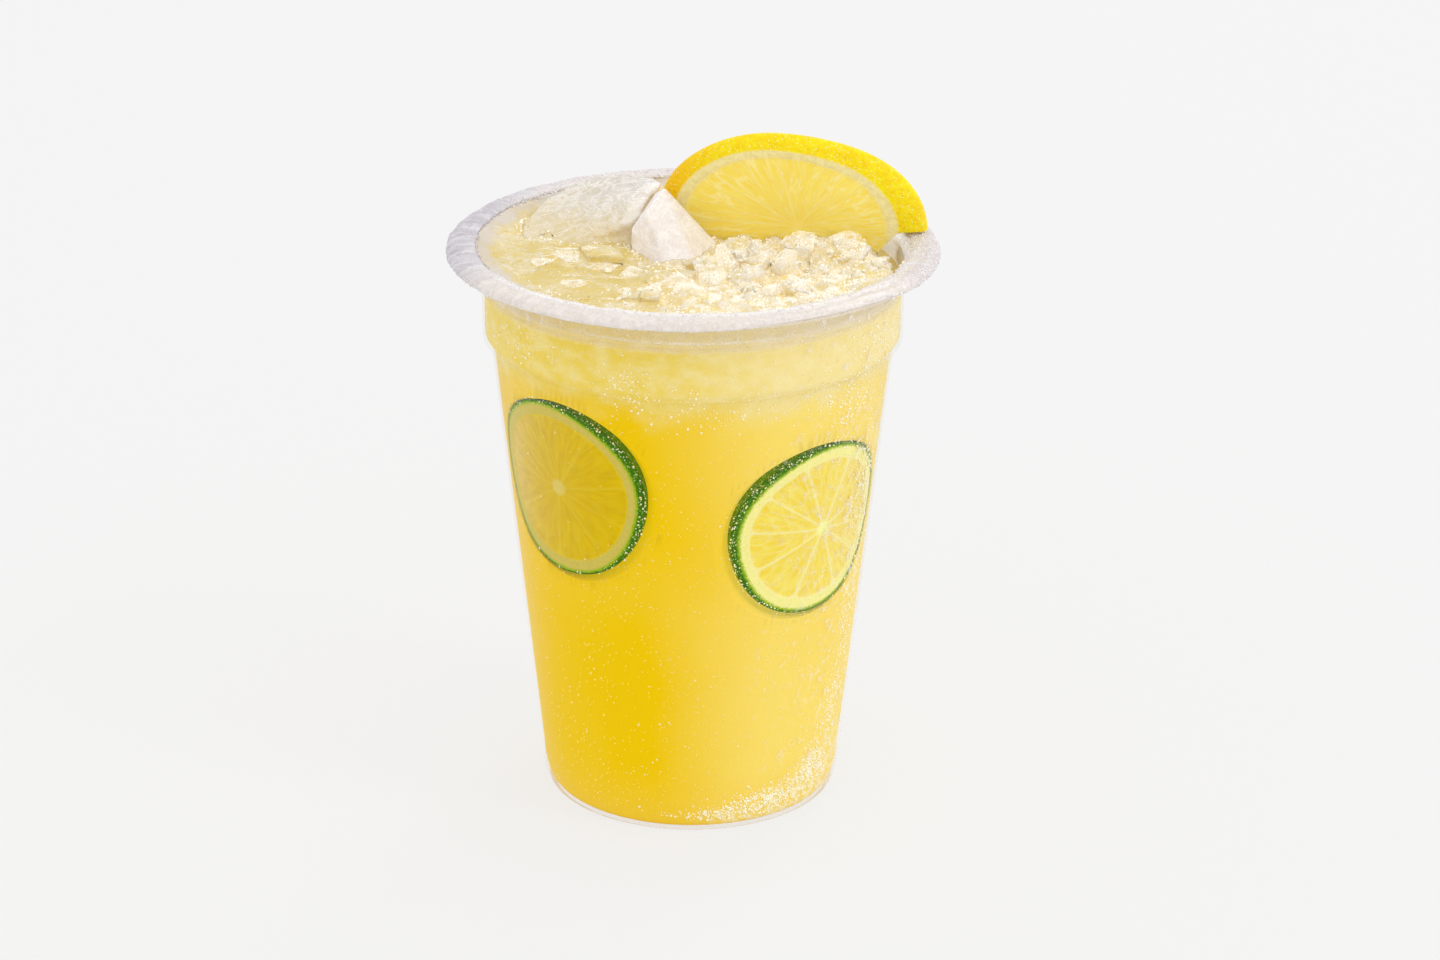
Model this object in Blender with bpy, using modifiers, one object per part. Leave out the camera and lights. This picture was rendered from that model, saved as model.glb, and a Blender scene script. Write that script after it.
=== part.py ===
"""Lemonade with crushed ice, lime slices and a lemon slice in a clear cup with a sugared rim.

Written in millimetres and made in metres. +Z is up and the cup stands on Z = 0, its axis on
the origin. The front, with the two lime slices, looks along -Y.
"""

import math
import random

import bmesh
import bpy
from mathutils import Vector, noise
from mathutils.bvhtree import BVHTree

MM = 0.001
SEGMENTS = 56
GAP = 0.3

# Cup: height of each feature and the outer radius there
WALL = 0.7
FOOT_INNER_R, FOOT_OUTER_R = 26.6, 28.4
FLOOR_Z = 1.9
CORNER_Z, CORNER_R = 8.0, 31.08
STEP_Z, STEP_R = 96.7, 40.62
BAND_Z, BAND_R = 98.4, 42.3
BEAD_Z, BEAD_HIGH = 108.25, 0.4
LIP_R, LIP_Z = 45.75, 115.0
LIP_HALF_WIDTH, LIP_HALF_HEIGHT = 2.75, 1.0
FLARE_Z = 111.8

# Sugar on the lip: angles round the lip's section, from its outer side over the top
SUGAR_FROM, SUGAR_TO = math.radians(-28), math.radians(142)
SUGAR_THIN, SUGAR_THICK = 0.4, 1.0

# Drink
LEVEL_Z = 109.5

# Lime slices, wrapped on the inside of the wall: heading from the front, height, sizes
LIME_THICK = 2.8
LIMES = {
    "lime_slice_left": {"heading": -45.3, "height": 73.7, "radius": 18.35, "wide": 1.145},
    "lime_slice_right": {"heading": 45.1, "height": 65.3, "radius": 18.1, "wide": 1.18},
}

# Lemon slice: leans to the front with one end over the lip
LEMON_CENTRE = Vector((18.8, 8.0, 117.5))
LEMON_HEADING, LEMON_LEAN = math.radians(12.0), math.radians(18.6)
LEMON_SECTION = ((22.6, 0.0), (25.0, 0.7), (26.6, 1.7), (26.9, 2.7), (26.0, 3.9), (24.0, 4.9))
LEMON_THICK, LEMON_OVAL = 4.9, 0.814
LEMON_SLANT = (2.1, -1.7)
LEMON_CHORD, LEMON_CHORD_ANGLE, LEMON_CHORD_SLOPE = 17.6, math.radians(-39.3), 0.45

# Ice: the heap's base and edge, then the corners of the two large pieces that stand in it
ICE_BASE_Z = LEVEL_Z + GAP
ICE_R = 41.2
CHUNKS = 60
BLOCK_CORNERS = (
    (-5.9, 7.3, 125.3), (-7.4, 9.6, 123.6), (-9.3, 2.6, 121.7), (-12.4, 3.6, 117.5),
    (-12.3, 9.6, 116.2), (-5.7, -2.2, 112.4), (0.2, -1.0, 112.2), (4.4, 7.6, 113.7),
    (-11.6, 3.2, 110.5), (-12.2, 10.6, 110.5), (2.8, 9.8, 110.5), (3.0, 3.0, 110.5),
    (-5.6, -1.6, 110.5), (0.2, -0.6, 110.5),
)
SLAB_CORNERS = (
    (-27.5, 6.6, 114.6), (-19.6, 5.6, 115.4), (-14.4, 7.4, 118.2), (-12.0, 12.6, 121.7),
    (-9.6, 17.6, 122.9), (-9.4, 23.4, 122.2), (-14.8, 26.2, 122.2), (-20.4, 26.6, 121.4),
    (-25.0, 25.8, 119.8), (-30.0, 21.6, 118.4), (-34.4, 14.4, 115.4), (-34.0, 8.6, 114.3),
    (-26.0, 7.4, 110.5), (-16.0, 8.4, 110.5), (-12.4, 22.6, 110.5), (-25.4, 26.0, 110.5),
    (-33.0, 15.6, 110.5),
)


def clear_scene():
    for obj in list(bpy.data.objects):
        bpy.data.objects.remove(obj)


def new_collection(name):
    collection = bpy.data.collections.new(name)
    bpy.context.scene.collection.children.link(collection)
    return collection


def material(name, colour, roughness, transmission=0.0):
    made = bpy.data.materials.new(name)
    made.use_nodes = True
    shader = made.node_tree.nodes["Principled BSDF"]
    shader.inputs["Base Color"].default_value = (*colour, 1.0)
    shader.inputs["Roughness"].default_value = roughness
    shader.inputs["Transmission Weight"].default_value = transmission
    made.diffuse_color = (*colour, 1.0)
    return made


def object_from(name, bm, collection, look=None, smooth=True):
    """The mesh, written in millimetres, as an object in metres with its faces outward."""
    bmesh.ops.scale(bm, vec=(MM, MM, MM), verts=bm.verts)
    bmesh.ops.recalc_face_normals(bm, faces=bm.faces)
    for face in bm.faces:
        face.smooth = smooth
    mesh = bpy.data.meshes.new(name)
    bm.to_mesh(mesh)
    bm.free()
    obj = bpy.data.objects.new(name, mesh)
    if look:
        mesh.materials.append(look)
    collection.objects.link(obj)
    return obj


def helper(obj):
    obj.hide_render = True
    obj.display_type = "WIRE"
    return obj


def turned(name, profile, collection, look):
    """A closed profile of (radius, height) pairs from axis to axis, turned round Z."""
    bm = bmesh.new()
    verts = [bm.verts.new((radius * MM, 0, height * MM)) for radius, height in profile]
    for first, second in zip(verts, verts[1:]):
        bm.edges.new((first, second))
    mesh = bpy.data.meshes.new(name)
    bm.to_mesh(mesh)
    bm.free()
    obj = bpy.data.objects.new(name, mesh)
    mesh.materials.append(look)
    collection.objects.link(obj)
    screw = obj.modifiers.new("Turn", "SCREW")
    screw.axis = "Z"
    screw.steps = screw.render_steps = SEGMENTS
    screw.use_merge_vertices = True
    screw.merge_threshold = 1e-5
    screw.use_smooth_shade = True
    return obj


def cut(obj, cutter):
    modifier = obj.modifiers.new("Cut " + cutter.name, "BOOLEAN")
    modifier.operation = "DIFFERENCE"
    modifier.solver = "EXACT"
    modifier.object = cutter


def apply_modifiers(obj):
    graph = bpy.context.evaluated_depsgraph_get()
    mesh = bpy.data.meshes.new_from_object(obj.evaluated_get(graph))
    obj.modifiers.clear()
    old, obj.data = obj.data, mesh
    bpy.data.meshes.remove(old)


def wall_outer_r(z):
    """Outer radius of the tapered wall and, above the step, of the band."""
    if z > BAND_Z:
        return BAND_R
    if z > STEP_Z:
        return STEP_R + (BAND_R - STEP_R) * (z - STEP_Z) / (BAND_Z - STEP_Z)
    return CORNER_R + (STEP_R - CORNER_R) * (z - CORNER_Z) / (STEP_Z - CORNER_Z)


def corner_points(inset, floor, steps=4):
    """The rounded corner between floor and wall, from the wall down."""
    inner_r, top_r = FOOT_OUTER_R - 1.3 * inset, CORNER_R - inset
    points = []
    for i in range(steps + 1):
        turn = math.pi / 2 * i / steps
        points.append((
            inner_r + (top_r - inner_r) * math.cos(turn) ** 0.8,
            CORNER_Z - (CORNER_Z - floor) * math.sin(turn) ** 1.25,
        ))
    return points


def section(angle, grow):
    """A point of the lip's oval section, moved out by grow."""
    return (
        LIP_R + (LIP_HALF_WIDTH + grow) * math.cos(angle),
        LIP_Z + (LIP_HALF_HEIGHT + grow) * math.sin(angle),
    )


def cup_profile():
    inside_r = BAND_R - WALL
    lip = [section(math.radians(a), 0.0) for a in (172, 140, 105, 70, 38, 10, -20, -50, -85, -120, -145)]
    outer = [
        (BAND_R + 0.9, LIP_Z - 1.5),
        (BAND_R, FLARE_Z),
        (BAND_R, BEAD_Z + 0.8),
        (BAND_R + BEAD_HIGH, BEAD_Z),
        (BAND_R, BEAD_Z - 0.8),
        (BAND_R, BAND_Z),
        (STEP_R, STEP_Z),
    ]
    outer += corner_points(0.0, 0.0)
    under = [(FOOT_INNER_R, 0.0), (FOOT_INNER_R - 0.8, 0.8), (FOOT_INNER_R - 3.0, 1.1), (0.0, 1.1)]
    inner = [(0.0, FLOOR_Z)] + corner_points(WALL, FLOOR_Z)[::-1]
    inner += [
        (STEP_R - WALL, STEP_Z + 0.3),
        (inside_r, BAND_Z + 0.3),
        (inside_r, BEAD_Z - 0.8),
        (inside_r + 0.3, BEAD_Z),
        (inside_r, BEAD_Z + 0.8),
        (inside_r, FLARE_Z),
        (inside_r + 0.8, LIP_Z - 1.2),
    ]
    return inner + lip + outer + under


def drink_profile():
    inside_r = BAND_R - WALL - GAP
    wall = corner_points(WALL + GAP, FLOOR_Z + GAP)
    return (
        [(0.0, LEVEL_Z), (inside_r, LEVEL_Z), (inside_r, BAND_Z + 0.5)]
        + [(STEP_R - WALL - GAP, STEP_Z + 0.4)]
        + wall
        + [(0.0, FLOOR_Z + GAP)]
    )


def ring_mesh(rings, close_loop=False):
    """A mesh from rings of points: quads between rings and, unless they loop, capped ends."""
    bm = bmesh.new()
    rows = [[bm.verts.new(point) for point in ring] for ring in rings]
    pairs = list(zip(rows, rows[1:])) + ([(rows[-1], rows[0])] if close_loop else [])
    for one, other in pairs:
        for i in range(len(one)):
            j = (i + 1) % len(one)
            bm.faces.new((one[i], one[j], other[j], other[i]))
    if not close_loop:
        for row in (rows[0], rows[-1]):
            centre = sum((vert.co for vert in row), Vector()) / len(row)
            tip = bm.verts.new(centre)
            for i in range(len(row)):
                bm.faces.new((row[i], row[(i + 1) % len(row)], tip))
    return bm


def sugar_mesh():
    """Sugar crust over the lip: even where it meets the lip, lumpy outside, thin at the front."""
    steps, around = 8, 72
    rings = []
    for i in range(around):
        heading = 2 * math.pi * i / around
        away = Vector((math.sin(heading), -math.cos(heading), 0))
        front = max(0.0, math.cos(heading)) ** 2
        ring = []
        for k in range(steps):
            angle = SUGAR_TO + (SUGAR_FROM - SUGAR_TO) * k / (steps - 1)
            radius, z = section(angle, GAP)
            ring.append(away * radius + Vector((0, 0, z)))
        for k in reversed(range(steps)):
            angle = SUGAR_TO + (SUGAR_FROM - SUGAR_TO) * k / (steps - 1)
            lump = noise.noise(Vector((7 * away.x, 7 * away.y, 2.2 * angle))) * 0.5 + 0.5
            thick = SUGAR_THIN + (SUGAR_THICK - SUGAR_THIN) * lump
            thick *= 1 - 0.35 * front * (math.cos(angle) > 0)
            if k in (0, steps - 1):
                thick *= 0.55
            radius, z = section(angle, GAP + thick)
            ring.append(away * radius + Vector((0, 0, z)))
        rings.append(ring)
    return ring_mesh(rings, close_loop=True)


def lime_mesh(heading, height, radius, wide, grow=0.0):
    """A lime slice laid against the wall. With grow it is the pocket, open to the wall."""
    around = 36
    depths = (GAP, GAP + LIME_THICK)
    if grow:
        depths = (-1.5, GAP + LIME_THICK + grow)
    middle = 0.5 * (depths[0] + depths[1])
    rim = radius + grow
    face = rim if grow else rim - 0.35
    rows = [(0.35 * face, depths[0]), (0.7 * face, depths[0]), (face, depths[0]), (rim, middle)]
    rows += [(face, depths[1]), (0.7 * face, depths[1]), (0.35 * face, depths[1])]
    rings = []
    for reach, depth in rows:
        ring = []
        for i in range(around):
            turn = 2 * math.pi * i / around
            uneven = 1 + 0.008 * math.sin(3 * turn + heading) + 0.006 * math.sin(5 * turn)
            z = height + reach * uneven * math.sin(turn)
            inside = wall_outer_r(z) - WALL - depth
            angle = math.radians(heading) + wide * reach * uneven * math.cos(turn) / wall_outer_r(height)
            ring.append(Vector((inside * math.sin(angle), -inside * math.cos(angle), z)))
        rings.append(ring)
    return ring_mesh(rings)


def lemon_axes():
    heading, lean = LEMON_HEADING, LEMON_LEAN
    out = Vector((-math.sin(heading) * math.cos(lean), -math.cos(heading) * math.cos(lean), -math.sin(lean)))
    along = Vector((math.cos(heading), -math.sin(heading), 0))
    return out, along, out.cross(along)


def lemon_reach(turn, radius, chord):
    """Reach from the slice's middle to its edge, or to the straight cut at its lower end."""
    oval = 1 / math.sqrt(math.cos(turn) ** 2 + (math.sin(turn) / LEMON_OVAL) ** 2)
    uneven = 1 + 0.012 * math.cos(2 * turn) + 0.009 * math.sin(3 * turn) - 0.0075 * math.cos(5 * turn)
    reach = radius * oval * uneven
    facing = math.cos(turn - LEMON_CHORD_ANGLE)
    return min(reach, chord / facing) if facing > 0.2 and math.sin(turn) < -0.02 else reach


def lemon_mesh(grow=0.0):
    """Lemon slice with a rounded peel. With grow it is the slice's pocket."""
    around = 48
    out, along, up = lemon_axes()
    rows = [(10.0, 0.0), (17.0, 0.0)] + list(LEMON_SECTION) + [(17.0, LEMON_THICK), (10.0, LEMON_THICK)]
    rings = []
    for radius, depth in rows:
        share = depth / LEMON_THICK
        middle = LEMON_CENTRE + (along * LEMON_SLANT[0] + up * LEMON_SLANT[1]) * share
        middle -= out * (depth + grow * (2 * share - 1))
        chord = (LEMON_CHORD - LEMON_CHORD_SLOPE * depth) * min(1, radius / 20) + grow
        radius += grow if radius > 18 else 0
        ring = []
        for i in range(around):
            turn = math.tau * i / around
            reach = lemon_reach(turn, radius, chord)
            ring.append(middle + along * reach * math.cos(turn) + up * reach * math.sin(turn))
        rings.append(ring)
    return ring_mesh(rings)


def hull_mesh(corners, grow=0.0):
    """The smallest closed shape round the corners, each moved out from their middle by grow."""
    corners = [Vector(corner) for corner in corners]
    middle = sum(corners, Vector()) / len(corners)
    bm = bmesh.new()
    for corner in corners:
        away = (corner - middle).normalized()
        bm.verts.new(corner + away * grow)
    made = bmesh.ops.convex_hull(bm, input=bm.verts)
    bmesh.ops.delete(bm, geom=[v for v in made["geom_interior"] if isinstance(v, bmesh.types.BMVert)])
    bmesh.ops.dissolve_limit(bm, angle_limit=0.02, verts=bm.verts, edges=bm.edges)
    return bm


def heap_height(x, y):
    """Height of the ice's surface: heaped before the lemon, low by the wall on the right."""
    reach = math.hypot(x, y) / ICE_R
    z = 112.7 + 2.0 * reach ** 3
    z += 1.1 * math.exp(-(((x - 22) / 12) ** 2 + ((y + 3) / 9) ** 2))
    z += 1.2 * math.exp(-(((x + 24) / 14) ** 2 + ((y - 8) / 12) ** 2))
    z -= 5.4 * math.exp(-(((x - 41) / 6) ** 2 + ((y - 5) / 10) ** 2))
    z += 1.2 * noise.noise(Vector((x, y, 3.0)) * 0.17) + 0.8 * noise.noise(Vector((x, y, 9.0)) * 0.4)
    return min(max(z, ICE_BASE_Z + 0.9), 114.9 + 2 * (1 - reach))


def heap_edge(azimuth):
    """Outer radius of the ice, drawn in from the wall behind the lemon's resting end."""
    near = (math.atan2(math.sin(azimuth), math.cos(azimuth)) - 0.1) / 0.3
    return ICE_R - 3.4 * math.exp(-near * near)


def heap_core_mesh():
    around = 48
    shares = (0.1, 0.27, 0.43, 0.58, 0.72, 0.85, 0.95)
    rings = []
    for share in shares:
        ring = []
        for i in range(around):
            azimuth = math.tau * i / around
            reach = share * heap_edge(azimuth)
            x, y = reach * math.cos(azimuth), reach * math.sin(azimuth)
            ring.append(Vector((x, y, heap_height(x, y))))
        rings.append(ring)
    outer = []
    for i in range(around):
        azimuth = math.tau * i / around
        x, y = heap_edge(azimuth) * math.cos(azimuth), heap_edge(azimuth) * math.sin(azimuth)
        top = heap_height(x, y)
        flare = 1 + 0.014 * max(0.0, min(1.0, (top - 113.0) / 1.5))
        outer.append((Vector((x, y, 0)), top, flare))
    rings.append([point * flare + Vector((0, 0, top)) for point, top, flare in outer])
    rings.append([point + Vector((0, 0, min(top - 0.5, FLARE_Z))) for point, top, flare in outer])
    for share in (1.0, 0.5):
        rings.append([point * share + Vector((0, 0, ICE_BASE_Z)) for point, top, flare in outer])
    return ring_mesh(rings)


def chunk_corners(rng, centre, size, flat):
    """Corners of one broken piece of ice, a skewed and turned brick."""
    turn = rng.uniform(0, math.tau)
    tilt = rng.uniform(-0.7, 0.7)
    axis_x = Vector((math.cos(turn), math.sin(turn), math.sin(tilt))).normalized()
    axis_y = Vector((-math.sin(turn), math.cos(turn), rng.uniform(-0.5, 0.5))).normalized()
    axis_z = axis_x.cross(axis_y).normalized()
    corners = []
    for sx in (-1, 1):
        for sy in (-1, 1):
            for sz in (-1, 1):
                jitter = [rng.uniform(0.62, 1.0) for _ in range(3)]
                offset = axis_x * sx * jitter[0] + axis_y * sy * jitter[1] * 0.8
                offset += axis_z * sz * jitter[2] * flat
                corners.append(centre + offset * size * 0.5)
    return corners


def surface_tree(bm):
    bm.normal_update()
    return BVHTree.FromBMesh(bm)


def chunk_places(rng):
    """Places, tops, sizes and flatness: the pieces that stand out first, the rest scattered."""
    places = [
        (18.6, -9.2, 116.9, 6.2, 0.95), (4.4, -14.5, 116.2, 9.2, 0.45), (20.8, -1.6, 117.4, 8.6, 0.7),
        (31.4, -3.5, 116.6, 8.0, 0.65), (8.9, 1.0, 116.6, 6.4, 0.6), (12.0, -7.6, 116.2, 7.0, 0.55),
        (26.0, -9.5, 116.5, 7.2, 0.7), (33.0, -12.0, 116.0, 6.6, 0.6), (14.6, -2.6, 116.2, 5.6, 0.7),
        (3.6, -7.0, 115.9, 6.4, 0.5), (10.6, -17.0, 116.0, 6.4, 0.7), (-18.2, -1.5, 115.8, 9.4, 0.3),
        (-26.5, -7.4, 115.6, 8.4, 0.3), (-9.5, -14.5, 115.3, 7.2, 0.4), (26.6, 0.2, 116.6, 5.6, 0.7),
        (-1.6, -24.0, 115.6, 6.4, 0.5), (20.0, -19.5, 115.9, 6.8, 0.6), (0.2, -3.8, 115.4, 5.4, 0.6),
        (35.6, -6.0, 115.4, 5.4, 0.6), (-30.0, 2.0, 115.6, 6.4, 0.3), (15.0, -23.5, 115.5, 6.0, 0.6),
    ]
    while len(places) < CHUNKS:
        azimuth, reach = rng.uniform(0, math.tau), 37.5 * math.sqrt(rng.random())
        x, y = reach * math.cos(azimuth), reach * math.sin(azimuth)
        if rng.random() < 0.3 + 0.02 * (x - 0.6 * y):
            size = rng.uniform(3.2, 5.8)
            top = heap_height(x, y) + rng.uniform(0.25, 0.42) * size
            places.append((x, y, top, size, rng.uniform(0.5, 0.9)))
    return places


def build_ice(part, cutters, look_heap, look_ice):
    """The heap with its pieces fused on, and the block and slab that stand in it."""
    block = object_from("ice_block", hull_mesh(BLOCK_CORNERS), part, look_ice, smooth=False)
    slab = object_from("ice_slab", hull_mesh(SLAB_CORNERS), part, look_ice, smooth=False)
    for obj in (block, slab):
        bevel = obj.modifiers.new("Melted edges", "BEVEL")
        bevel.width = 0.5 * MM
        bevel.segments = 2
        bevel.limit_method = "ANGLE"
        bevel.angle_limit = math.radians(20)
    toppings = {
        "pocket_block": hull_mesh(BLOCK_CORNERS, 0.55),
        "pocket_slab": hull_mesh(SLAB_CORNERS, 0.55),
        "pocket_lemon": lemon_mesh(GAP + 0.1),
    }
    trees = [surface_tree(bm) for bm in toppings.values()]
    heap = object_from("crushed_ice", heap_core_mesh(), part, look_heap, smooth=False)
    for name, bm in toppings.items():
        cutter = helper(object_from(name, bm, cutters))
        cut(heap, cutter)
    apply_modifiers(heap)

    rng = random.Random(5)
    pieces = new_collection("ice pieces")
    for x, y, top, size, flat in chunk_places(rng):
        corners = chunk_corners(rng, Vector((x, y, 0)), size, flat)
        rise = Vector((0, 0, top - max(corner.z for corner in corners)))
        bm = hull_mesh([corner + rise for corner in corners])
        tree = surface_tree(bm)
        far = max(math.hypot(v.co.x, v.co.y) / heap_edge(math.atan2(v.co.y, v.co.x)) for v in bm.verts)
        low = min(v.co.z for v in bm.verts)
        corner = next(iter(bm.verts)).co
        crosses = any(tree.overlap(other) or inside(other, corner) for other in trees)
        if crosses or far > 0.99 or low < ICE_BASE_Z + 0.05:
            bm.free()
            continue
        object_from("ice piece", bm, pieces, smooth=False)
    union = heap.modifiers.new("Fuse", "BOOLEAN")
    union.operation = "UNION"
    union.solver = "EXACT"
    union.operand_type = "COLLECTION"
    union.collection = pieces
    apply_modifiers(heap)
    for obj in list(pieces.objects):
        bpy.data.objects.remove(obj)
    bpy.data.collections.remove(pieces)
    heap.data.materials.clear()
    heap.data.materials.append(look_heap)
    keep_largest(heap)
    return heap


def inside(tree, point):
    """Whether the point lies inside the closed surface: an odd number of crossings overhead."""
    crossings, start = 0, Vector(point)
    while crossings < 20:
        hit = tree.ray_cast(start, Vector((0, 0, 1)))[0]
        if hit is None:
            break
        crossings += 1
        start = hit + Vector((0, 0, 1e-4))
    return crossings % 2 == 1


def keep_largest(obj):
    """Drop scraps that the Booleans left loose."""
    bm = bmesh.new()
    bm.from_mesh(obj.data)
    bmesh.ops.triangulate(bm, faces=bm.faces)
    bmesh.ops.remove_doubles(bm, verts=bm.verts, dist=2e-6)
    bmesh.ops.dissolve_degenerate(bm, edges=bm.edges, dist=2e-6)
    islands, left = [], set(bm.verts)
    while left:
        island, edge = set(), [left.pop()]
        while edge:
            vert = edge.pop()
            island.add(vert)
            for link in vert.link_edges:
                other = link.other_vert(vert)
                if other in left:
                    left.discard(other)
                    edge.append(other)
        islands.append(island)
    islands.sort(key=len)
    for island in islands[:-1]:
        bmesh.ops.delete(bm, geom=list(island))
    for face in bm.faces:
        face.smooth = False
    bm.to_mesh(obj.data)
    bm.free()


def main():
    clear_scene()
    part = new_collection("lemonade_cup")
    cutters = new_collection("cutters")
    plastic = material("clear_plastic", (0.9, 0.9, 0.88), 0.08, 0.9)
    sugar = material("sugar", (0.9, 0.88, 0.88), 0.6)
    drink = material("lemonade", (0.84, 0.56, 0.03), 0.25)
    peel = material("lime", (0.55, 0.6, 0.06), 0.4)
    lemon = material("lemon", (0.9, 0.66, 0.02), 0.4)
    heap = material("crushed_ice", (0.88, 0.8, 0.5), 0.3)
    ice = material("ice", (0.88, 0.86, 0.82), 0.15)

    turned("cup", cup_profile(), part, plastic)
    crust = object_from("sugar_rim", sugar_mesh(), part, sugar)
    lemonade = turned("lemonade", drink_profile(), part, drink)
    for name, sizes in LIMES.items():
        object_from(name, lime_mesh(**sizes), part, peel)
        pocket = helper(object_from("pocket_" + name, lime_mesh(**sizes, grow=GAP), cutters, smooth=False))
        cut(lemonade, pocket)
    object_from("lemon_slice", lemon_mesh(), part, lemon)
    build_ice(part, cutters, heap, ice)
    cut(lemonade, bpy.data.objects["pocket_lemon"])
    cut(crust, bpy.data.objects["pocket_lemon"])


main()
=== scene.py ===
import random
from math import asin, atan2, copysign, cos, exp, hypot, pi, radians, sin, sqrt, tau

import bmesh
import bpy
import numpy as np
from mathutils import Matrix, Vector, noise
from mathutils.bvhtree import BVHTree


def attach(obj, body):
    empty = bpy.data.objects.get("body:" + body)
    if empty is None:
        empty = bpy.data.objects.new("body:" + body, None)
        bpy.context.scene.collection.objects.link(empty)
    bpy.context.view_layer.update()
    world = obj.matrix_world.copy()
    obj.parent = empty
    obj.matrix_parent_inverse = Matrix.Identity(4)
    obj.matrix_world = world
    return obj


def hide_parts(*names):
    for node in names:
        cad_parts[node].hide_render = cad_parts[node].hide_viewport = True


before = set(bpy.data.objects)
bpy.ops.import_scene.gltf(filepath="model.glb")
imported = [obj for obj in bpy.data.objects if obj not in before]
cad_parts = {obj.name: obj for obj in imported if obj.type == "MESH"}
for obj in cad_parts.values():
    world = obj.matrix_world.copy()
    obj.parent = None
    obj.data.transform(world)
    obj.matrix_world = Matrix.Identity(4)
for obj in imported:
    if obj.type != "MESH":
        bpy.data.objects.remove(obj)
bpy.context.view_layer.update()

# Lemonade in a clear cup: the finish of every piece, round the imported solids. Sizes are in mm.
mm = 0.001


# Shader maths: a socket that can stand in a sum
class Link:
    def __init__(self, tree, node, output=0):
        self.tree, self.node = tree, node
        self.socket = node.outputs[output] if node.outputs else None

    def out(self, name):
        return Link(self.tree, self.node, name)

    def maths(self, operation, *others, flip=False):
        values = [*others, self] if flip else [self, *others]
        return addNode(self.tree, "ShaderNodeMath", {"operation": operation}, values)

    def __add__(self, other):
        return self.maths("ADD", other)

    def __sub__(self, other):
        return self.maths("SUBTRACT", other)

    def __rsub__(self, other):
        return self.maths("SUBTRACT", other, flip=True)

    def __mul__(self, other):
        return self.maths("MULTIPLY", other)

    def __truediv__(self, other):
        return self.maths("DIVIDE", other)

    def __rtruediv__(self, other):
        return self.maths("DIVIDE", other, flip=True)

    def __pow__(self, other):
        return self.maths("POWER", other)

    def __neg__(self):
        return self.maths("MULTIPLY", -1.0)

    __radd__, __rmul__ = __add__, __mul__

    def absolute(self):
        return self.maths("ABSOLUTE")

    def sine(self):
        return self.maths("SINE")

    def root(self):
        return self.maths("SQRT")

    def high(self, other):
        return self.maths("MAXIMUM", other)

    def clear(self):  # kept between 0 and 1
        return addNode(self.tree, "ShaderNodeClamp", {}, [self, 0.0, 1.0])

    def rise(self, start, end):  # 0 before start, 1 past end, smooth between
        return addNode(
            self.tree, "ShaderNodeMapRange", {"interpolation_type": "SMOOTHSTEP"},
            {"Value": self, "From Min": start, "From Max": end},
        )

    def fall(self, start, end):
        return 1.0 - self.rise(start, end)

    def between(self, start, full, less, end):
        return self.rise(start, full) * self.fall(less, end)


def addNode(tree, kind, settings=None, inputs=None, output=0):
    node = tree.nodes.new(kind)
    for name, value in (settings or {}).items():
        setattr(node, name, value)
    named = inputs.items() if isinstance(inputs, dict) else enumerate(inputs or [])
    for key, value in named:
        if isinstance(value, Link):
            tree.links.new(value.socket, node.inputs[key])
        else:
            node.inputs[key].default_value = value
    return Link(tree, node, output)


def srgb(red, green, blue):
    # a colour as it is seen on screen, from 0 to 255, made linear
    return tuple(
        c / 255 / 12.92 if c < 10.3 else ((c / 255 + 0.055) / 1.055) ** 2.4 for c in (red, green, blue)
    )


class Paint:
    def __init__(self, name):
        self.material = bpy.data.materials.new(name)
        self.material.use_nodes = True
        self.tree = self.material.node_tree
        self.tree.nodes.clear()

    def node(self, kind, settings=None, inputs=None, output=0):
        return addNode(self.tree, kind, settings, inputs, output)

    def place(self):  # object coordinates in mm
        spot = self.node("ShaderNodeTexCoord", output="Object")
        return self.node("ShaderNodeVectorMath", {"operation": "SCALE"}, {0: spot, "Scale": 1000.0})

    def split(self, vector):
        parts = self.node("ShaderNodeSeparateXYZ", {}, [vector])
        return parts, parts.out("Y"), parts.out("Z")

    def join(self, x, y, z=0.0):
        return self.node("ShaderNodeCombineXYZ", {}, [x, y, z])

    def noise(self, vector, scale, detail=3.0, roughness=0.55, distortion=0.0):
        return self.node("ShaderNodeTexNoise", {}, {
            "Vector": vector, "Scale": scale, "Detail": detail, "Roughness": roughness,
            "Distortion": distortion,
        })

    def cells(self, vector, scale, feature="F1"):
        return self.node(
            "ShaderNodeTexVoronoi", {"feature": feature}, {"Vector": vector, "Scale": scale}, "Distance"
        )

    def mix(self, factor, first, second):  # three numbers are a colour as seen on screen
        first, second = ((*srgb(*c), 1.0) if isinstance(c, tuple) else c for c in (first, second))
        return self.node("ShaderNodeMix", {"data_type": "RGBA"}, {0: factor, 6: first, 7: second}, 2)

    def facing(self):  # 0 where the surface faces the eye, 1 at its outline
        return self.node("ShaderNodeLayerWeight", {}, {"Blend": 0.5}, "Facing")

    def attribute(self, name):
        return self.node("ShaderNodeAttribute", {"attribute_name": name}, output="Fac")

    def bump(self, height, distance, strength=1.0):  # distance in mm
        return self.node(
            "ShaderNodeBump", {}, {"Height": height, "Distance": distance * mm, "Strength": strength}
        )

    def principled(self, **sockets):
        named = {
            key.replace("_", " "): (*value, 1.0) if isinstance(value, tuple) else value
            for key, value in sockets.items()
        }
        return self.node("ShaderNodeBsdfPrincipled", {}, named)

    def finish(self, shader):
        self.node("ShaderNodeOutputMaterial", {}, {"Surface": shader})
        return self.material


# Mesh tools
def deselectAll():
    if bpy.context.mode != "OBJECT":
        bpy.ops.object.mode_set(mode="OBJECT")
    bpy.ops.object.select_all(action="DESELECT")


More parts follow.
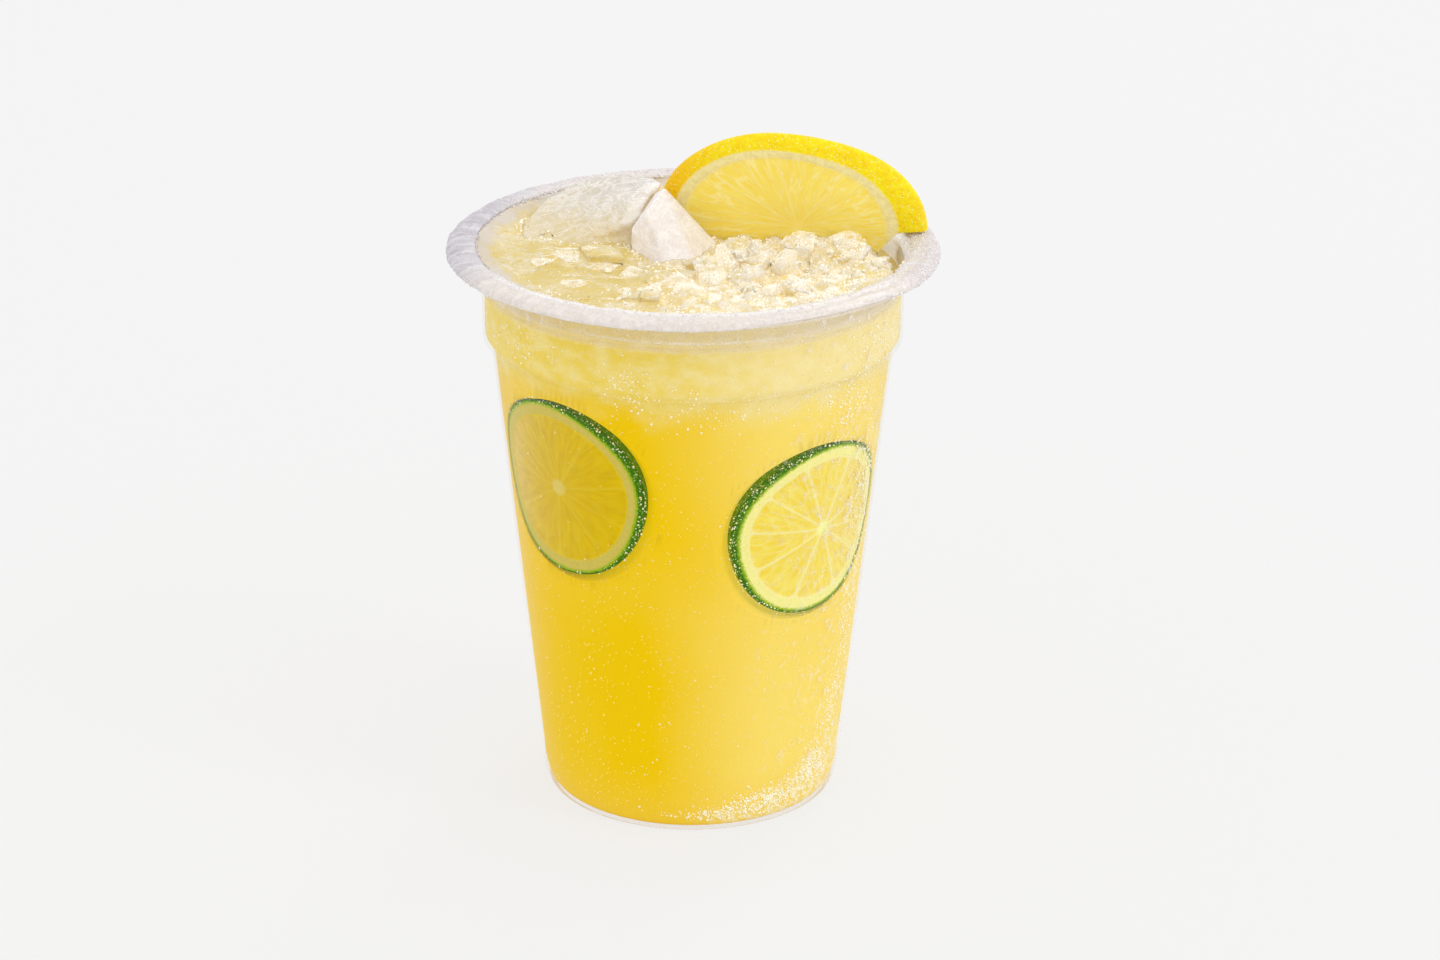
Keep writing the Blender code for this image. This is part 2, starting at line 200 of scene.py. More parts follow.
def makeActive(obj):
    deselectAll()
    obj.select_set(True)
    bpy.context.view_layer.objects.active = obj


def editAll():
    bpy.ops.object.mode_set(mode="EDIT")
    bpy.ops.mesh.select_all(action="SELECT")


def faceOutward(obj):
    makeActive(obj)
    editAll()
    bpy.ops.mesh.normals_make_consistent(inside=False)
    bpy.ops.object.mode_set(mode="OBJECT")


def turnedSolid(name, rows, around):
    deselectAll()
    radius, height = rows[0]
    bpy.ops.mesh.primitive_circle_add(
        vertices=around, radius=radius * mm, fill_type="TRIFAN", location=(0, 0, height * mm)
    )
    obj = bpy.context.object
    obj.name = obj.data.name = name
    bpy.ops.object.transform_apply(location=True, rotation=True, scale=True)
    editAll()
    for nextRadius, nextHeight in rows[1:]:
        bpy.ops.mesh.extrude_region_move(
            TRANSFORM_OT_translate={"value": (0, 0, (nextHeight - height) * mm)}
        )
        share = nextRadius / radius
        bpy.ops.transform.resize(value=(share, share, 1), center_override=(0, 0, 0))
        radius, height = nextRadius, nextHeight
    bpy.ops.mesh.select_all(action="SELECT")
    bpy.ops.mesh.normals_make_consistent(inside=False)
    bpy.ops.object.mode_set(mode="OBJECT")
    return obj


def points(obj):
    found = np.empty(len(obj.data.vertices) * 3)
    obj.data.vertices.foreach_get("co", found)
    return found.reshape(-1, 3) / mm


def setPoints(obj, found):
    obj.data.vertices.foreach_set("co", (np.asarray(found) * mm).ravel())
    obj.data.update()


def vertexNormals(obj):
    found = np.empty(len(obj.data.vertices) * 3)
    obj.data.vertices.foreach_get("normal", found)
    return found.reshape(-1, 3)


def setAttribute(obj, name, values):
    made = obj.data.attributes.new(name, "FLOAT", "POINT")
    made.data.foreach_set("value", np.asarray(values, np.float32))


def setPlane(obj, flat):
    # a UV map in mm, from one flat point for each vertex
    layer = obj.data.uv_layers.new(name="plane")
    corner = np.empty(len(obj.data.loops), np.int32)
    obj.data.loops.foreach_get("vertex_index", corner)
    layer.data.foreach_set("uv", np.asarray(flat, np.float32)[corner].ravel())


def smooth(obj, degrees=None):
    makeActive(obj)
    if degrees is None:
        bpy.ops.object.shade_smooth()
    else:
        bpy.ops.object.shade_smooth_by_angle(angle=radians(degrees))


def dress(obj, paints, nodes=()):
    obj.data.materials.clear()
    for paint in paints if isinstance(paints, (list, tuple)) else [paints]:
        obj.data.materials.append(paint)
    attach(obj, "root")
    if nodes:
        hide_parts(*nodes)
    return obj


def unit(values):
    return np.clip(values, 0, 1)


def noiseAt(found, scale, seed=0.0):
    return np.array([noise.noise(Vector(p) * scale + Vector((seed, seed * 0.7, -seed))) for p in found])


def addObject(name, mesh):
    obj = bpy.data.objects.new(name, mesh)
    bpy.context.scene.collection.objects.link(obj)
    return obj


def copyOfNode(node, name):
    obj = addObject(name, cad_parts[node].data.copy())
    makeActive(obj)
    editAll()
    bpy.ops.mesh.remove_doubles(threshold=0.002 * mm)
    bpy.ops.object.mode_set(mode="OBJECT")
    return obj


def joinedCopies(name, kinds, places):
    shapes = []
    for kind in kinds:
        kind.data.calc_loop_triangles()
        polys = [tuple(p.vertices) for p in kind.data.polygons]
        slots = [p.material_index for p in kind.data.polygons]
        shapes.append((points(kind), polys, slots))
    verts, faces, slots, start = [], [], [], 0
    for kind, matrix in places:
        shape, polys, kindSlots = shapes[kind]
        turned = shape @ np.array(matrix.to_3x3()).T + np.array(matrix.translation)
        verts.append(turned)
        faces += [tuple(v + start for v in poly) for poly in polys]
        slots += kindSlots
        start += len(shape)
    mesh = bpy.data.meshes.new(name)
    mesh.from_pydata((np.concatenate(verts) * mm).tolist(), [], faces)
    mesh.polygons.foreach_set("material_index", slots)
    return addObject(name, mesh)


def treeOf(obj):
    bm = bmesh.new()
    bm.from_mesh(obj.data)
    bmesh.ops.scale(bm, vec=(1000, 1000, 1000), verts=bm.verts)
    tree = BVHTree.FromBMesh(bm)
    bm.free()
    return tree


def remove(*objs):
    for obj in objs:
        mesh = obj.data
        bpy.data.objects.remove(obj)
        bpy.data.meshes.remove(mesh)


def randomSpin(rng):
    return Matrix.Rotation(rng.uniform(0, tau), 4, Vector([rng.uniform(-1, 1) for _ in range(3)]))


def randomSpot(rng, radius):  # anywhere in a circle
    azimuth, reach = rng.uniform(0, tau), radius * sqrt(rng.random())
    return reach * cos(azimuth), reach * sin(azimuth), reach


def spotAt(radius, heading, z):  # heading counts from the front towards +X
    return Vector((radius * sin(heading), -radius * cos(heading), z))


def dropTo(tree, x, y):  # the highest point there and the normal at it
    return tree.ray_cast(Vector((x, y, 150)), Vector((0, 0, -1)))[:2]


def roughBall(subdivisions, offset, uniform, normal, seed):
    deselectAll()
    bpy.ops.mesh.primitive_ico_sphere_add(subdivisions=subdivisions, radius=0.5 * mm)
    editAll()
    bpy.ops.transform.vertex_random(offset=offset * mm, uniform=uniform, normal=normal, seed=seed)
    bpy.ops.object.mode_set(mode="OBJECT")
    return bpy.context.object


def segmentInset(wave, spread, reach, toRim, corner):
    # how far a point lies inside its segment of the fruit, whose corners are round
    away = (wave - wave.maths("ROUND")).absolute() * reach / spread
    cutOne, cutTwo = (corner - away).high(0.0), (corner - toRim).high(0.0)
    return corner - (cutOne * cutOne + cutTwo * cutTwo).root()


# Cup
cup = {
    "sides": 160, "wall": 0.7, "footInner": 26.6, "footOuter": 28.4, "floor": 1.9,
    "cornerZ": 8.0, "cornerR": 31.08, "stepZ": 96.7, "stepR": 40.62, "bandZ": 98.4, "bandR": 42.3,
    "beadZ": 108.25, "flareZ": 111.8,
    "lipR": 45.75, "lipZ": 115.0, "lipHalfWide": 2.75, "lipHalfHigh": 1.0,
}


def wallR(z):  # outer radius of the wall and the band
    if z > cup["flareZ"]:
        return cup["bandR"] + 1.2 * (z - cup["flareZ"]) / 3.2
    if z > cup["bandZ"]:
        return cup["bandR"]
    if z > cup["stepZ"]:
        share = (z - cup["stepZ"]) / (cup["bandZ"] - cup["stepZ"])
        return cup["stepR"] + (cup["bandR"] - cup["stepR"]) * share
    if z > cup["cornerZ"]:
        share = (z - cup["cornerZ"]) / (cup["stepZ"] - cup["cornerZ"])
        return cup["cornerR"] + (cup["stepR"] - cup["cornerR"]) * share
    turn = asin(max(0.0, min(1.0, (cup["cornerZ"] - z) / cup["cornerZ"])) ** 0.8)
    return cup["footOuter"] + (cup["cornerR"] - cup["footOuter"]) * cos(turn) ** 0.8


def cornerRows(inset, floor, steps=10):
    inner, top = cup["footOuter"] - 1.3 * inset, cup["cornerR"] - inset
    rows = []
    for i in range(steps + 1):
        turn = pi / 2 * i / steps
        rows.append((
            inner + (top - inner) * cos(turn) ** 0.8,
            cup["cornerZ"] - (cup["cornerZ"] - floor) * sin(turn) ** 1.25,
        ))
    return rows


def lipPoint(angle, grow=0.0):
    return (
        cup["lipR"] + (cup["lipHalfWide"] + grow) * cos(angle),
        cup["lipZ"] + (cup["lipHalfHigh"] + grow) * sin(angle),
    )


def cupRows():
    inside = cup["bandR"] - cup["wall"]
    bead = [(0.0, -0.9), (0.12, -0.6), (0.34, -0.25), (0.4, 0.0), (0.34, 0.25), (0.12, 0.6), (0.0, 0.9)]
    step = [(0.0, -0.35), (0.12, -0.1), (0.5, 0.0), (0.8, 0.25), (1.0, 0.8)]
    wide, tall = cup["bandR"] - cup["stepR"], cup["bandZ"] - cup["stepZ"]
    stepRows = [(cup["stepR"] + wide * out, cup["stepZ"] + tall * (0.5 * up + 0.3)) for out, up in step]
    inner = [(6.0, cup["floor"])] + cornerRows(cup["wall"], cup["floor"])[::-1]
    inner += [(r - cup["wall"], z + 0.3) for r, z in stepRows]
    inner += [(inside + out * 0.8, cup["beadZ"] + up) for out, up in bead]
    inner += [(inside, 111.4), (inside + 0.12, 112.4), (inside + 0.8, 113.8), (inside + 1.2, 114.5)]
    lip = [lipPoint(radians(a)) for a in range(172, -151, -14)]
    outer = [(cup["bandR"] + 0.9, 113.6), (cup["bandR"] + 0.2, 112.6), (cup["bandR"], 111.5)]
    outer += [(cup["bandR"] + out, cup["beadZ"] + up) for out, up in bead[::-1]]
    outer += stepRows[::-1]
    outer += cornerRows(0.0, 0.0)
    under = [(cup["footInner"] - inward, z) for inward, z in ((0.0, 0.0), (0.8, 0.8), (3.0, 1.1))]
    under += [(5.0, 1.1)]
    return inner + lip + outer + under


def plasticPaint():
    p = Paint("clear cup")
    place = p.place()
    x, y, z = p.split(place)
    patchy = p.noise(place, 0.35, 4.0, 0.6)
    lip = z.rise(113.4, 115.2)
    foot = z.fall(0.0, 1.6)
    heading = x.maths("ARCTAN2", -y)
    right = heading.between(0.15, 1.0, 2.2, 3.0)
    left = (-heading).rise(0.5, 1.1) * (1.0 - (-heading).rise(2.2, 3.0))
    crisp = p.noise(place, 0.42, 6.0, 0.72)
    bead = 1.0 - (z - cup["beadZ"]).absolute().rise(0.25, 0.8)
    aboveBead = z.between(108.4, 109.4, 113.0, 114.0)
    band = z.between(96.5, 98.5, 112.5, 113.5)
    misty = aboveBead * (0.12 + 0.3 * patchy + (right + left) * 0.15)
    frost = crisp.rise(0.56, 0.66) * band * (0.12 + 0.45 * right + 0.2 * aboveBead)
    # ring marks and smears on the right side of the wall
    marks = p.cells(place, 0.3)
    ring = (1.0 - (marks - 0.3).absolute().rise(0.0, 0.06)) * patchy.rise(0.48, 0.6)
    smear = (crisp.rise(0.55, 0.66) * 0.5 + ring * 0.35) * right * (1.0 - band)
    # the foot is hazy, with a painted highlight line along its lowest edge
    foot = foot * (0.3 + 0.4 * z.fall(0.2, 0.7))
    haze = (lip * (0.2 + 0.35 * patchy) + foot + bead * 0.25 * patchy + misty + frost + smear).clear()
    beside = x.rise(37.0, 39.0) * (1.0 - (y - 1.5).absolute().rise(4.5, 7.0))
    beside = beside * z.rise(109.5, 110.5) * z.fall(113.2, 114.4)
    beside = beside * (1.0 - (x * x + y * y).root().rise(42.15, 42.3))
    haze = (haze + beside * 0.8).clear()
    milky = p.mix(beside, (248, 240, 232), (206, 202, 211))
    cloudy = p.principled(Base_Color=milky, Roughness=0.25, Specular_IOR_Level=0.3)
    through = p.node("ShaderNodeBsdfTransparent", {}, {"Color": (0.995, 0.995, 0.995, 1.0)})
    body = p.node("ShaderNodeMixShader", {}, [haze, through, cloudy])
    shine = p.node("ShaderNodeBsdfGlossy", {}, {"Color": (1.0, 1.0, 1.0, 1.0), "Roughness": 0.08})
    # the same from both sides, so that no light is trapped in the thin wall
    facing = p.facing()
    return p.finish(p.node("ShaderNodeMixShader", {}, [facing ** 4 * 0.28 + 0.001, body, shine]))


def makeCup():
    shell = turnedSolid("cupShell", cupRows(), cup["sides"])
    smooth(shell, 50)
    dress(shell, plasticPaint(), ["cup"])
    print("cup made")


# Lime slices, bent to the wall
lime = {"thick": 2.8, "around": 200, "zest": 0.95, "pith": 2.2, "flare": 3.1}
limes = {
    "lime_slice_left": {
        "heading": -45.3, "height": 73.7, "radius": 18.35, "wide": 1.145, "segments": 9, "spin": 0.35,
        "core": (0.4, 0.2), "flesh": (230, 194, 2), "deep": (218, 180, 0), "skin": (206, 187, 84),
        "line": (230, 202, 44), "shine": 0.0, "skins": 0.6,
    },
    "lime_slice_right": {
        "heading": 45.1, "height": 65.3, "radius": 18.1, "wide": 1.18, "segments": 10, "spin": 0.1,
        "core": (0.6, -0.3), "flesh": (252, 232, 102), "deep": (249, 219, 66), "skin": (244, 237, 146),
        "line": (253, 242, 166), "shine": 0.05, "skins": 0.9,
    },
}


def onWall(flatX, flatY, depth, slice):
    z = slice["height"] + flatY
    inside = np.array([wallR(one) for one in z]) - cup["wall"] - depth
    angle = radians(slice["heading"]) + slice["wide"] * flatX / wallR(slice["height"])
    return np.stack([inside * np.sin(angle), -inside * np.cos(angle), z], -1)


def limeUneven(turn, slice):
    return 1 + 0.008 * np.sin(3 * turn + slice["heading"]) + 0.006 * np.sin(5 * turn)


def bendToWall(obj, slice):
    found = points(obj)
    turn = np.arctan2(found[:, 1], found[:, 0])
    uneven = limeUneven(turn, slice)
    setPlane(obj, found[:, :2])
    setAttribute(obj, "depth", found[:, 2])
    setPoints(obj, onWall(found[:, 0] * uneven, found[:, 1] * uneven, found[:, 2], slice))


def sliceRelief(found, slice, fleshR):
    turn = np.arctan2(found[:, 1] - slice["core"][1], found[:, 0] - slice["core"][0])
    reach = np.hypot(found[:, 0], found[:, 1])
    wave = (turn + slice["spin"] + 0.12 * np.sin(2 * turn + 1)) * slice["segments"] / tau
    away = np.abs(wave - np.round(wave)) * tau / slice["segments"] * reach
    membrane = np.exp(-((away / 0.35) ** 2))
    flesh = unit((fleshR - reach) / 0.8)
    sacs = noiseAt(np.stack([turn * 6, reach * 0.25, 0 * reach], -1), 1.0, slice["heading"])
    return flesh * (0.2 + 0.06 * sacs) * (1 - 0.7 * membrane)


def limePaint(name, slice):
    p = Paint(name)
    plane = p.node("ShaderNodeUVMap", {"uv_map": "plane"})
    u, v, _ = p.split(plane)
    coreU, coreV = u - slice["core"][0], v - slice["core"][1]
    turn = coreV.maths("ARCTAN2", coreU)
    reach = (u * u + v * v).root()
    coreReach = (coreU * coreU + coreV * coreV).root()
    place = p.place()
    grain = p.noise(place, 1.6, 4.0, 0.65)
    fine = p.noise(place, 5.0, 2.0, 0.6)
    fleshR = slice["radius"] - lime["zest"] - lime["pith"]
    spread = slice["segments"] / tau
    wave = (turn + slice["spin"] + 0.12 * (2 * turn + 1.0).sine()) * spread
    toRim = fleshR + 0.5 * (grain - 0.5) - reach
    fleshMask = segmentInset(wave, spread, coreReach, toRim, 1.5).rise(-0.05, 0.5)
    coreMask = 1.0 - (coreReach + 1.2 * (fine - 0.5)).rise(1.0, 2.1)
    ray = p.join(turn * 7.0, coreReach * 0.16, 1.0)
    sacs = p.noise(ray, 1.7, 3.0, 0.6)
    streak = p.cells(p.join(turn * 9.0, coreReach * 0.22, 2.0), 1.0, "DISTANCE_TO_EDGE").rise(0.0, 0.12)
    flesh = p.mix(sacs.rise(0.35, 0.7), slice["deep"], slice["flesh"])
    flesh = p.mix((1.0 - streak) * 0.35, flesh, slice["line"])
    flesh = p.mix((1.0 - fleshMask) * slice["skins"], flesh, slice["line"])
    lighter, lightest = (tuple(min(255, c + more) for c in slice["skin"]) for more in (10, 22))
    flesh = p.mix(coreMask * 0.85, flesh, lightest)
    rimNear = (reach - fleshR).rise(-0.2, 0.3)
    skin = p.mix(grain.rise(0.3, 0.7), slice["skin"], lighter)
    face = p.mix(rimNear, flesh, skin)
    toMiddle = -1.0 if slice["heading"] > 0 else 1.0
    facing = (u / reach * toMiddle + 0.3 * v / reach).rise(0.1, 1.0)
    zestEdge = slice["radius"] - lime["zest"] - 0.7 * facing
    edge = reach + 1.1 * (grain - 0.5) + 0.9 * (fine - 0.5)
    young = edge.rise(zestEdge - 0.35, zestEdge + 0.25)
    face = p.mix(young, face, (160, 190, 30))
    old = edge.rise(zestEdge + 0.1, zestEdge + 0.75)
    speck = (p.cells(place, 1.5).rise(0.08, 0.42) + (fine - 0.5) * 0.9).clear()
    zest = p.mix(speck, (138, 176, 52), (58, 112, 16))
    foam = 1.0 - p.cells(place, 1.15).rise(0.13, 0.2)
    # painted light: the peel's side, down in the pocket, is painted a lighter green to make up for the shade
    # there
    side = p.attribute("depth").rise(0.35, 1.2)
    zest = p.mix(side * 0.75, zest, p.mix(speck, (176, 204, 66), (104, 152, 30)))
    zest = p.mix(fine.rise(0.6, 0.72) * 0.6, zest, (176, 206, 84))
    zest = p.mix(foam * 0.8, zest, (236, 240, 205))
    colour = p.mix(old, face, zest)
    height = sacs * 0.12 + (1.0 - speck) * old * 0.25
    return p.finish(p.principled(
        Base_Color=colour, Roughness=0.35, Specular_IOR_Level=slice["shine"], Normal=p.bump(height, 0.4, 0.3)
    ))


def makeLimes():
    for node, slice in limes.items():
        radius, thick = slice["radius"], lime["thick"] + 0.3
        fleshR = radius - lime["zest"] - lime["pith"]
        rows = [(0.35 * k + 0.2, 0.0) for k in range(int((radius - 0.5) / 0.35))]
        rows += [(radius - 0.3, 0.0), (radius - 0.08, 0.12), (radius, 0.4)]
        rows += [(radius + 0.06 * sin(k), thick * k / 8) for k in range(2, 8)]
        rows += [(radius - 0.1, thick - 0.1), (radius - 0.4, thick), (0.6 * radius, thick), (0.2, thick)]
        disc = turnedSolid(node + "_fruit", rows, lime["around"])
        found = points(disc)
        front = found[:, 2] < 0.01
        found[:, 2] += np.where(front, sliceRelief(found, slice, fleshR), 0.0)
        setPoints(disc, found)
        bendToWall(disc, slice)
        faceOutward(disc)
        smooth(disc, 45)
        dress(disc, limePaint(node + " look", slice), [node])
    print("lime slices made")


# Drink
drink = {
    "level": 109.5, "bottom": 0.7, "floor": 1.3, "reach": 0.15, "sides": 180,
    "deep": (247, 205, 4), "paleAndLit": (253, 225, 110), "low": (247, 206, 70), "streak": (254, 243, 206),
    "icy": (248, 230, 154), "milky": (243, 216, 96),
}


def insideR(z):  # radius of the drink's face, which reaches just into the wall
    inset = cup["wall"] - drink["reach"]
    if z >= cup["cornerZ"]:
        return wallR(z) - inset
    inner, top = cup["footOuter"] - 1.3 * inset, cup["cornerR"] - inset
    deep = (cup["cornerZ"] - max(z, drink["bottom"])) / (cup["cornerZ"] - drink["bottom"])
    return inner + (top - inner) * cos(asin(deep ** 0.8)) ** 0.8


def drinkColour(p, place):
    x, y, z = p.split(place)
    heading = x.maths("ARCTAN2", -y)
    dip = z.between(48.0, 62.0, 62.0, 78.0)
    right = (heading - 0.16 * dip).rise(-0.35, 0.65) * heading.fall(2.2, 3.0)
    cloud = p.noise(place, 0.035, 3.0, 0.5)
    small = p.noise(place, 0.14, 4.0, 0.6)
    # paler towards the right: partly painted light from the lamps on that side, partly a cloudier drink
    # there
    paleAndLit = (right * 0.95 + (cloud - 0.5) * 0.5).clear()
    colour = p.mix(paleAndLit, drink["deep"], drink["paleAndLit"])
    low = z.fall(2.0, 16.0)
    colour = p.mix(low * 0.5, colour, drink["low"])
    # wet streaks on the wall's right side
    streak = p.noise(p.join(heading * 8.0, z * 0.16, 4.0), 1.0, 6.0, 0.72, 1.4).rise(0.55, 0.7)
    wetSide = heading.between(0.5, 1.0, 2.0, 2.4)
    colour = p.mix(streak * wetSide * 0.75, colour, drink["streak"])
    # foam that has settled in the corner at the front's right
    foam = p.noise(place, 0.8, 5.0, 0.7).rise(0.4, 0.62) * heading.rise(0.0, 0.35) * heading.fall(1.6, 2.2)
    foam = foam * (1.0 - (z - 9.0 * heading.rise(0.3, 1.2)).rise(2.0, 7.5))
    colour = p.mix(foam * 0.7, colour, drink["streak"])
    icy = (z + (small - 0.5) * 10.0 + (cloud - 0.5) * 10.0).rise(90.0, 100.0)
    veil = p.noise(p.join(x, y, z * 1.6), 0.22, 5.0, 0.6).rise(0.35, 0.72)
    frosty = p.mix(veil, drink["milky"], drink["icy"])
    # the frost is paler towards the right too, partly as painted light
    frosty = p.mix(right * 0.45, frosty, drink["streak"])
    return p.mix(icy * 0.88, colour, frosty)


def drinkPaint():
    p = Paint("cloudy drink")
    place = p.place()
    colour = drinkColour(p, place)
    ripple = p.noise(place, 0.3, 2.0, 0.5)
    # painted light: a glow in the hollows round the slices, standing in for light that the cloudy drink
    # scatters into them
    lit = p.mix(p.attribute("hollow"), (0.0, 0.0, 0.0), colour)
    return p.finish(p.principled(
        Base_Color=colour, Roughness=0.5, Specular_IOR_Level=0.02, Normal=p.bump(ripple, 0.2, 0.3),
        Emission_Color=lit, Emission_Strength=0.47,
    ))


def limePocket(slice):
    deep = lime["thick"] + 0.3 + 0.15
    radius = slice["radius"] + 0.15
    rings = [0.1, 0.3, 0.5, 0.7, 0.85]
    rows = [(share * radius, -1.2) for share in rings]
    face, full = -drink["reach"], deep + drink["reach"]
    steps = (0.0, 0.01, 0.04, 0.09, 0.17, 0.28, 0.45, 0.7, 1.0)
    rows += [(radius, -1.2)] + [(radius, face + share * full) for share in steps]
    rows += [(share * radius, deep) for share in rings[::-1]]
    cutter = turnedSolid("pocket", rows, 96)
    found = points(cutter)
    turn = np.arctan2(found[:, 1], found[:, 0])
    reach = np.hypot(found[:, 0], found[:, 1])
    # the side towards the cup's front middle is opened out, so that the peel's edge shows
    toMiddle = -1.0 if slice["heading"] > 0 else 1.0
    opened = unit(np.cos(turn) * toMiddle * 0.85 + 0.18)
    ramp = 1 - np.sqrt(unit((found[:, 2] - face) / full))
    grow = lime["flare"] * opened * ramp * (reach > 0.9 * radius)
    scale = (reach + grow) / np.maximum(reach, 1e-6) * limeUneven(turn, slice)
    setPoints(cutter, onWall(found[:, 0] * scale, found[:, 1] * scale, found[:, 2], slice))
    faceOutward(cutter)
    return cutter


def makeDrink():
    rows = [(5.0, drink["floor"]), (26.0, drink["floor"]), (26.9, drink["bottom"] + 0.05)]
    rows += cornerRows(cup["wall"] - drink["reach"], drink["bottom"])[::-1]
    rows += [(insideR(z), z) for z in range(12, 96, 4)]
    rows += [(insideR(z), z) for z in (96.7, 97.3, 98.4, 99.5, 103.0, 107.0, drink["level"])]
    rows += [(8.0, drink["level"])]
    body = turnedSolid("drinkBody", rows, drink["sides"])
    cutters = [limePocket(slice) for slice in limes.values()]
    cutters.append(copyOfNode("lemon_slice", "lemonPocket"))
    for cutter in cutters:
        carve = body.modifiers.new("Pocket", "BOOLEAN")
        carve.operation = "DIFFERENCE"
        carve.solver = "EXACT"
        carve.object = cutter
        makeActive(body)
        bpy.ops.object.modifier_apply(modifier=carve.name)
    remove(*cutters)
    found = points(body)
    inward = np.array([insideR(z) for z in found[:, 2]]) - np.hypot(found[:, 0], found[:, 1])
    low = (found[:, 2] < drink["level"] - 2) & (found[:, 2] > 20)
    # how far the face sinks in round the slices, which sets the painted glow there
    setAttribute(body, "hollow", np.where(low & (inward < 4), unit(inward / 2.0), 0.0))
    smooth(body, 35)
    dress(body, drinkPaint(), ["lemonade"])
    print("drink made")


# Sugar on the lip
sugar = {
    "from": radians(-28), "to": radians(142), "thin": 0.4, "thick": 1.0,
    "around": 560, "across": 28, "crystals": 4300, "size": (0.2, 0.44), "seed": 11,
    "bareAt": 0.62, "bareWide": 0.42, "bare": radians(42),
}


def crustThick(headingX, headingY, angle):
    front = max(0.0, -headingY) ** 2
    lump = noise.noise(Vector((7 * headingX, 7 * headingY, 2.2 * angle))) * 0.5 + 0.5
    thick = sugar["thin"] + (sugar["thick"] - sugar["thin"]) * lump
    return thick * (1 - 0.35 * front * (cos(angle) > 0))


def crustFrom(heading):
    away = (heading - sugar["bareAt"]) / sugar["bareWide"]
    return sugar["from"] + sugar["bare"] * exp(-away ** 4)


def lipSides(x, y):  # the left of the lip, and of that what lies behind its front
    left = 1.0 - (x + y * 0.3).rise(-40.0, -10.0)
    return left, left * (y + 4.0).rise(-30.0, -8.0)


def sugarPaint():
    p = Paint("sugar")
    place = p.place()
    x, y, z = p.split(place)
    grain = p.noise(place, 1.3, 4.0, 0.7)
    fine = p.cells(place, 1.7)
    broad = p.noise(place, 0.12, 3.0, 0.55)
    reach = (x * x + y * y).root()
    turn = x.maths("ARCTAN2", -y)
    # streaks across the lip, frost on its inner side
    streak = p.noise(p.join(turn * 26.0, reach * 0.12, z * 0.1), 1.0, 3.0, 0.6)
    left, leftBack = lipSides(x, y)
    streak = streak * (0.25 + 0.75 * left) + grain * 0.75 * (1.0 - left) * 0.9
    colour = p.mix(streak.rise(0.35, 0.68), (216, 207, 209), (242, 236, 235))
    colour = p.mix(broad.rise(0.42, 0.68) * 0.4, colour, (232, 220, 204))
    lilac = p.mix(streak.rise(0.34, 0.66), (184, 178, 187), (220, 215, 221))
    # painted shade: a darker lilac line along the crust's outline
    edge = p.facing().rise(0.78, 1.0)
    lilac = p.mix(edge * 0.6, lilac, (168, 160, 176))
    colour = p.mix(leftBack * 0.9, colour, lilac)
    inner = 1.0 - (reach + (grain - 0.5) * 3.0).rise(44.8, 46.8)
    front = 1.0 - (y + 10.0).rise(-26.0, 0.0)
    creamy = p.mix(grain.rise(0.35, 0.65), (229, 217, 203), (244, 236, 226))
    colour = p.mix(front * 0.6, colour, creamy)
    frost = (inner * (0.35 + 0.6 * front) + grain.rise(0.55, 0.75) * 0.5).clear() * (1.0 - leftBack * 0.75)
    colour = p.mix(frost, colour, (250, 246, 243))
    height = fine * 0.5 + grain * 0.6 + streak * 0.8
    smoothPart = front * (1.0 - inner)
    return p.finish(p.principled(
        Base_Color=colour, Roughness=0.34 - 0.2 * smoothPart, Specular_IOR_Level=0.6,
        Normal=p.bump(height * (1.0 - 0.75 * smoothPart), 0.35, 0.7),
    ))


def crystalPaint():
    p = Paint("sugar crystals")
    place = p.place()
    tone = p.noise(place, 0.9, 3.0, 0.7)
    x, y, _ = p.split(place)
    _, leftBack = lipSides(x, y)
    colour = p.mix(tone.rise(0.3, 0.7), (228, 220, 222), (250, 247, 247))
    colour = p.mix(leftBack * 0.75, colour, (208, 202, 210))
    return p.finish(p.principled(Base_Color=colour, Roughness=0.18, Specular_IOR_Level=0.6))


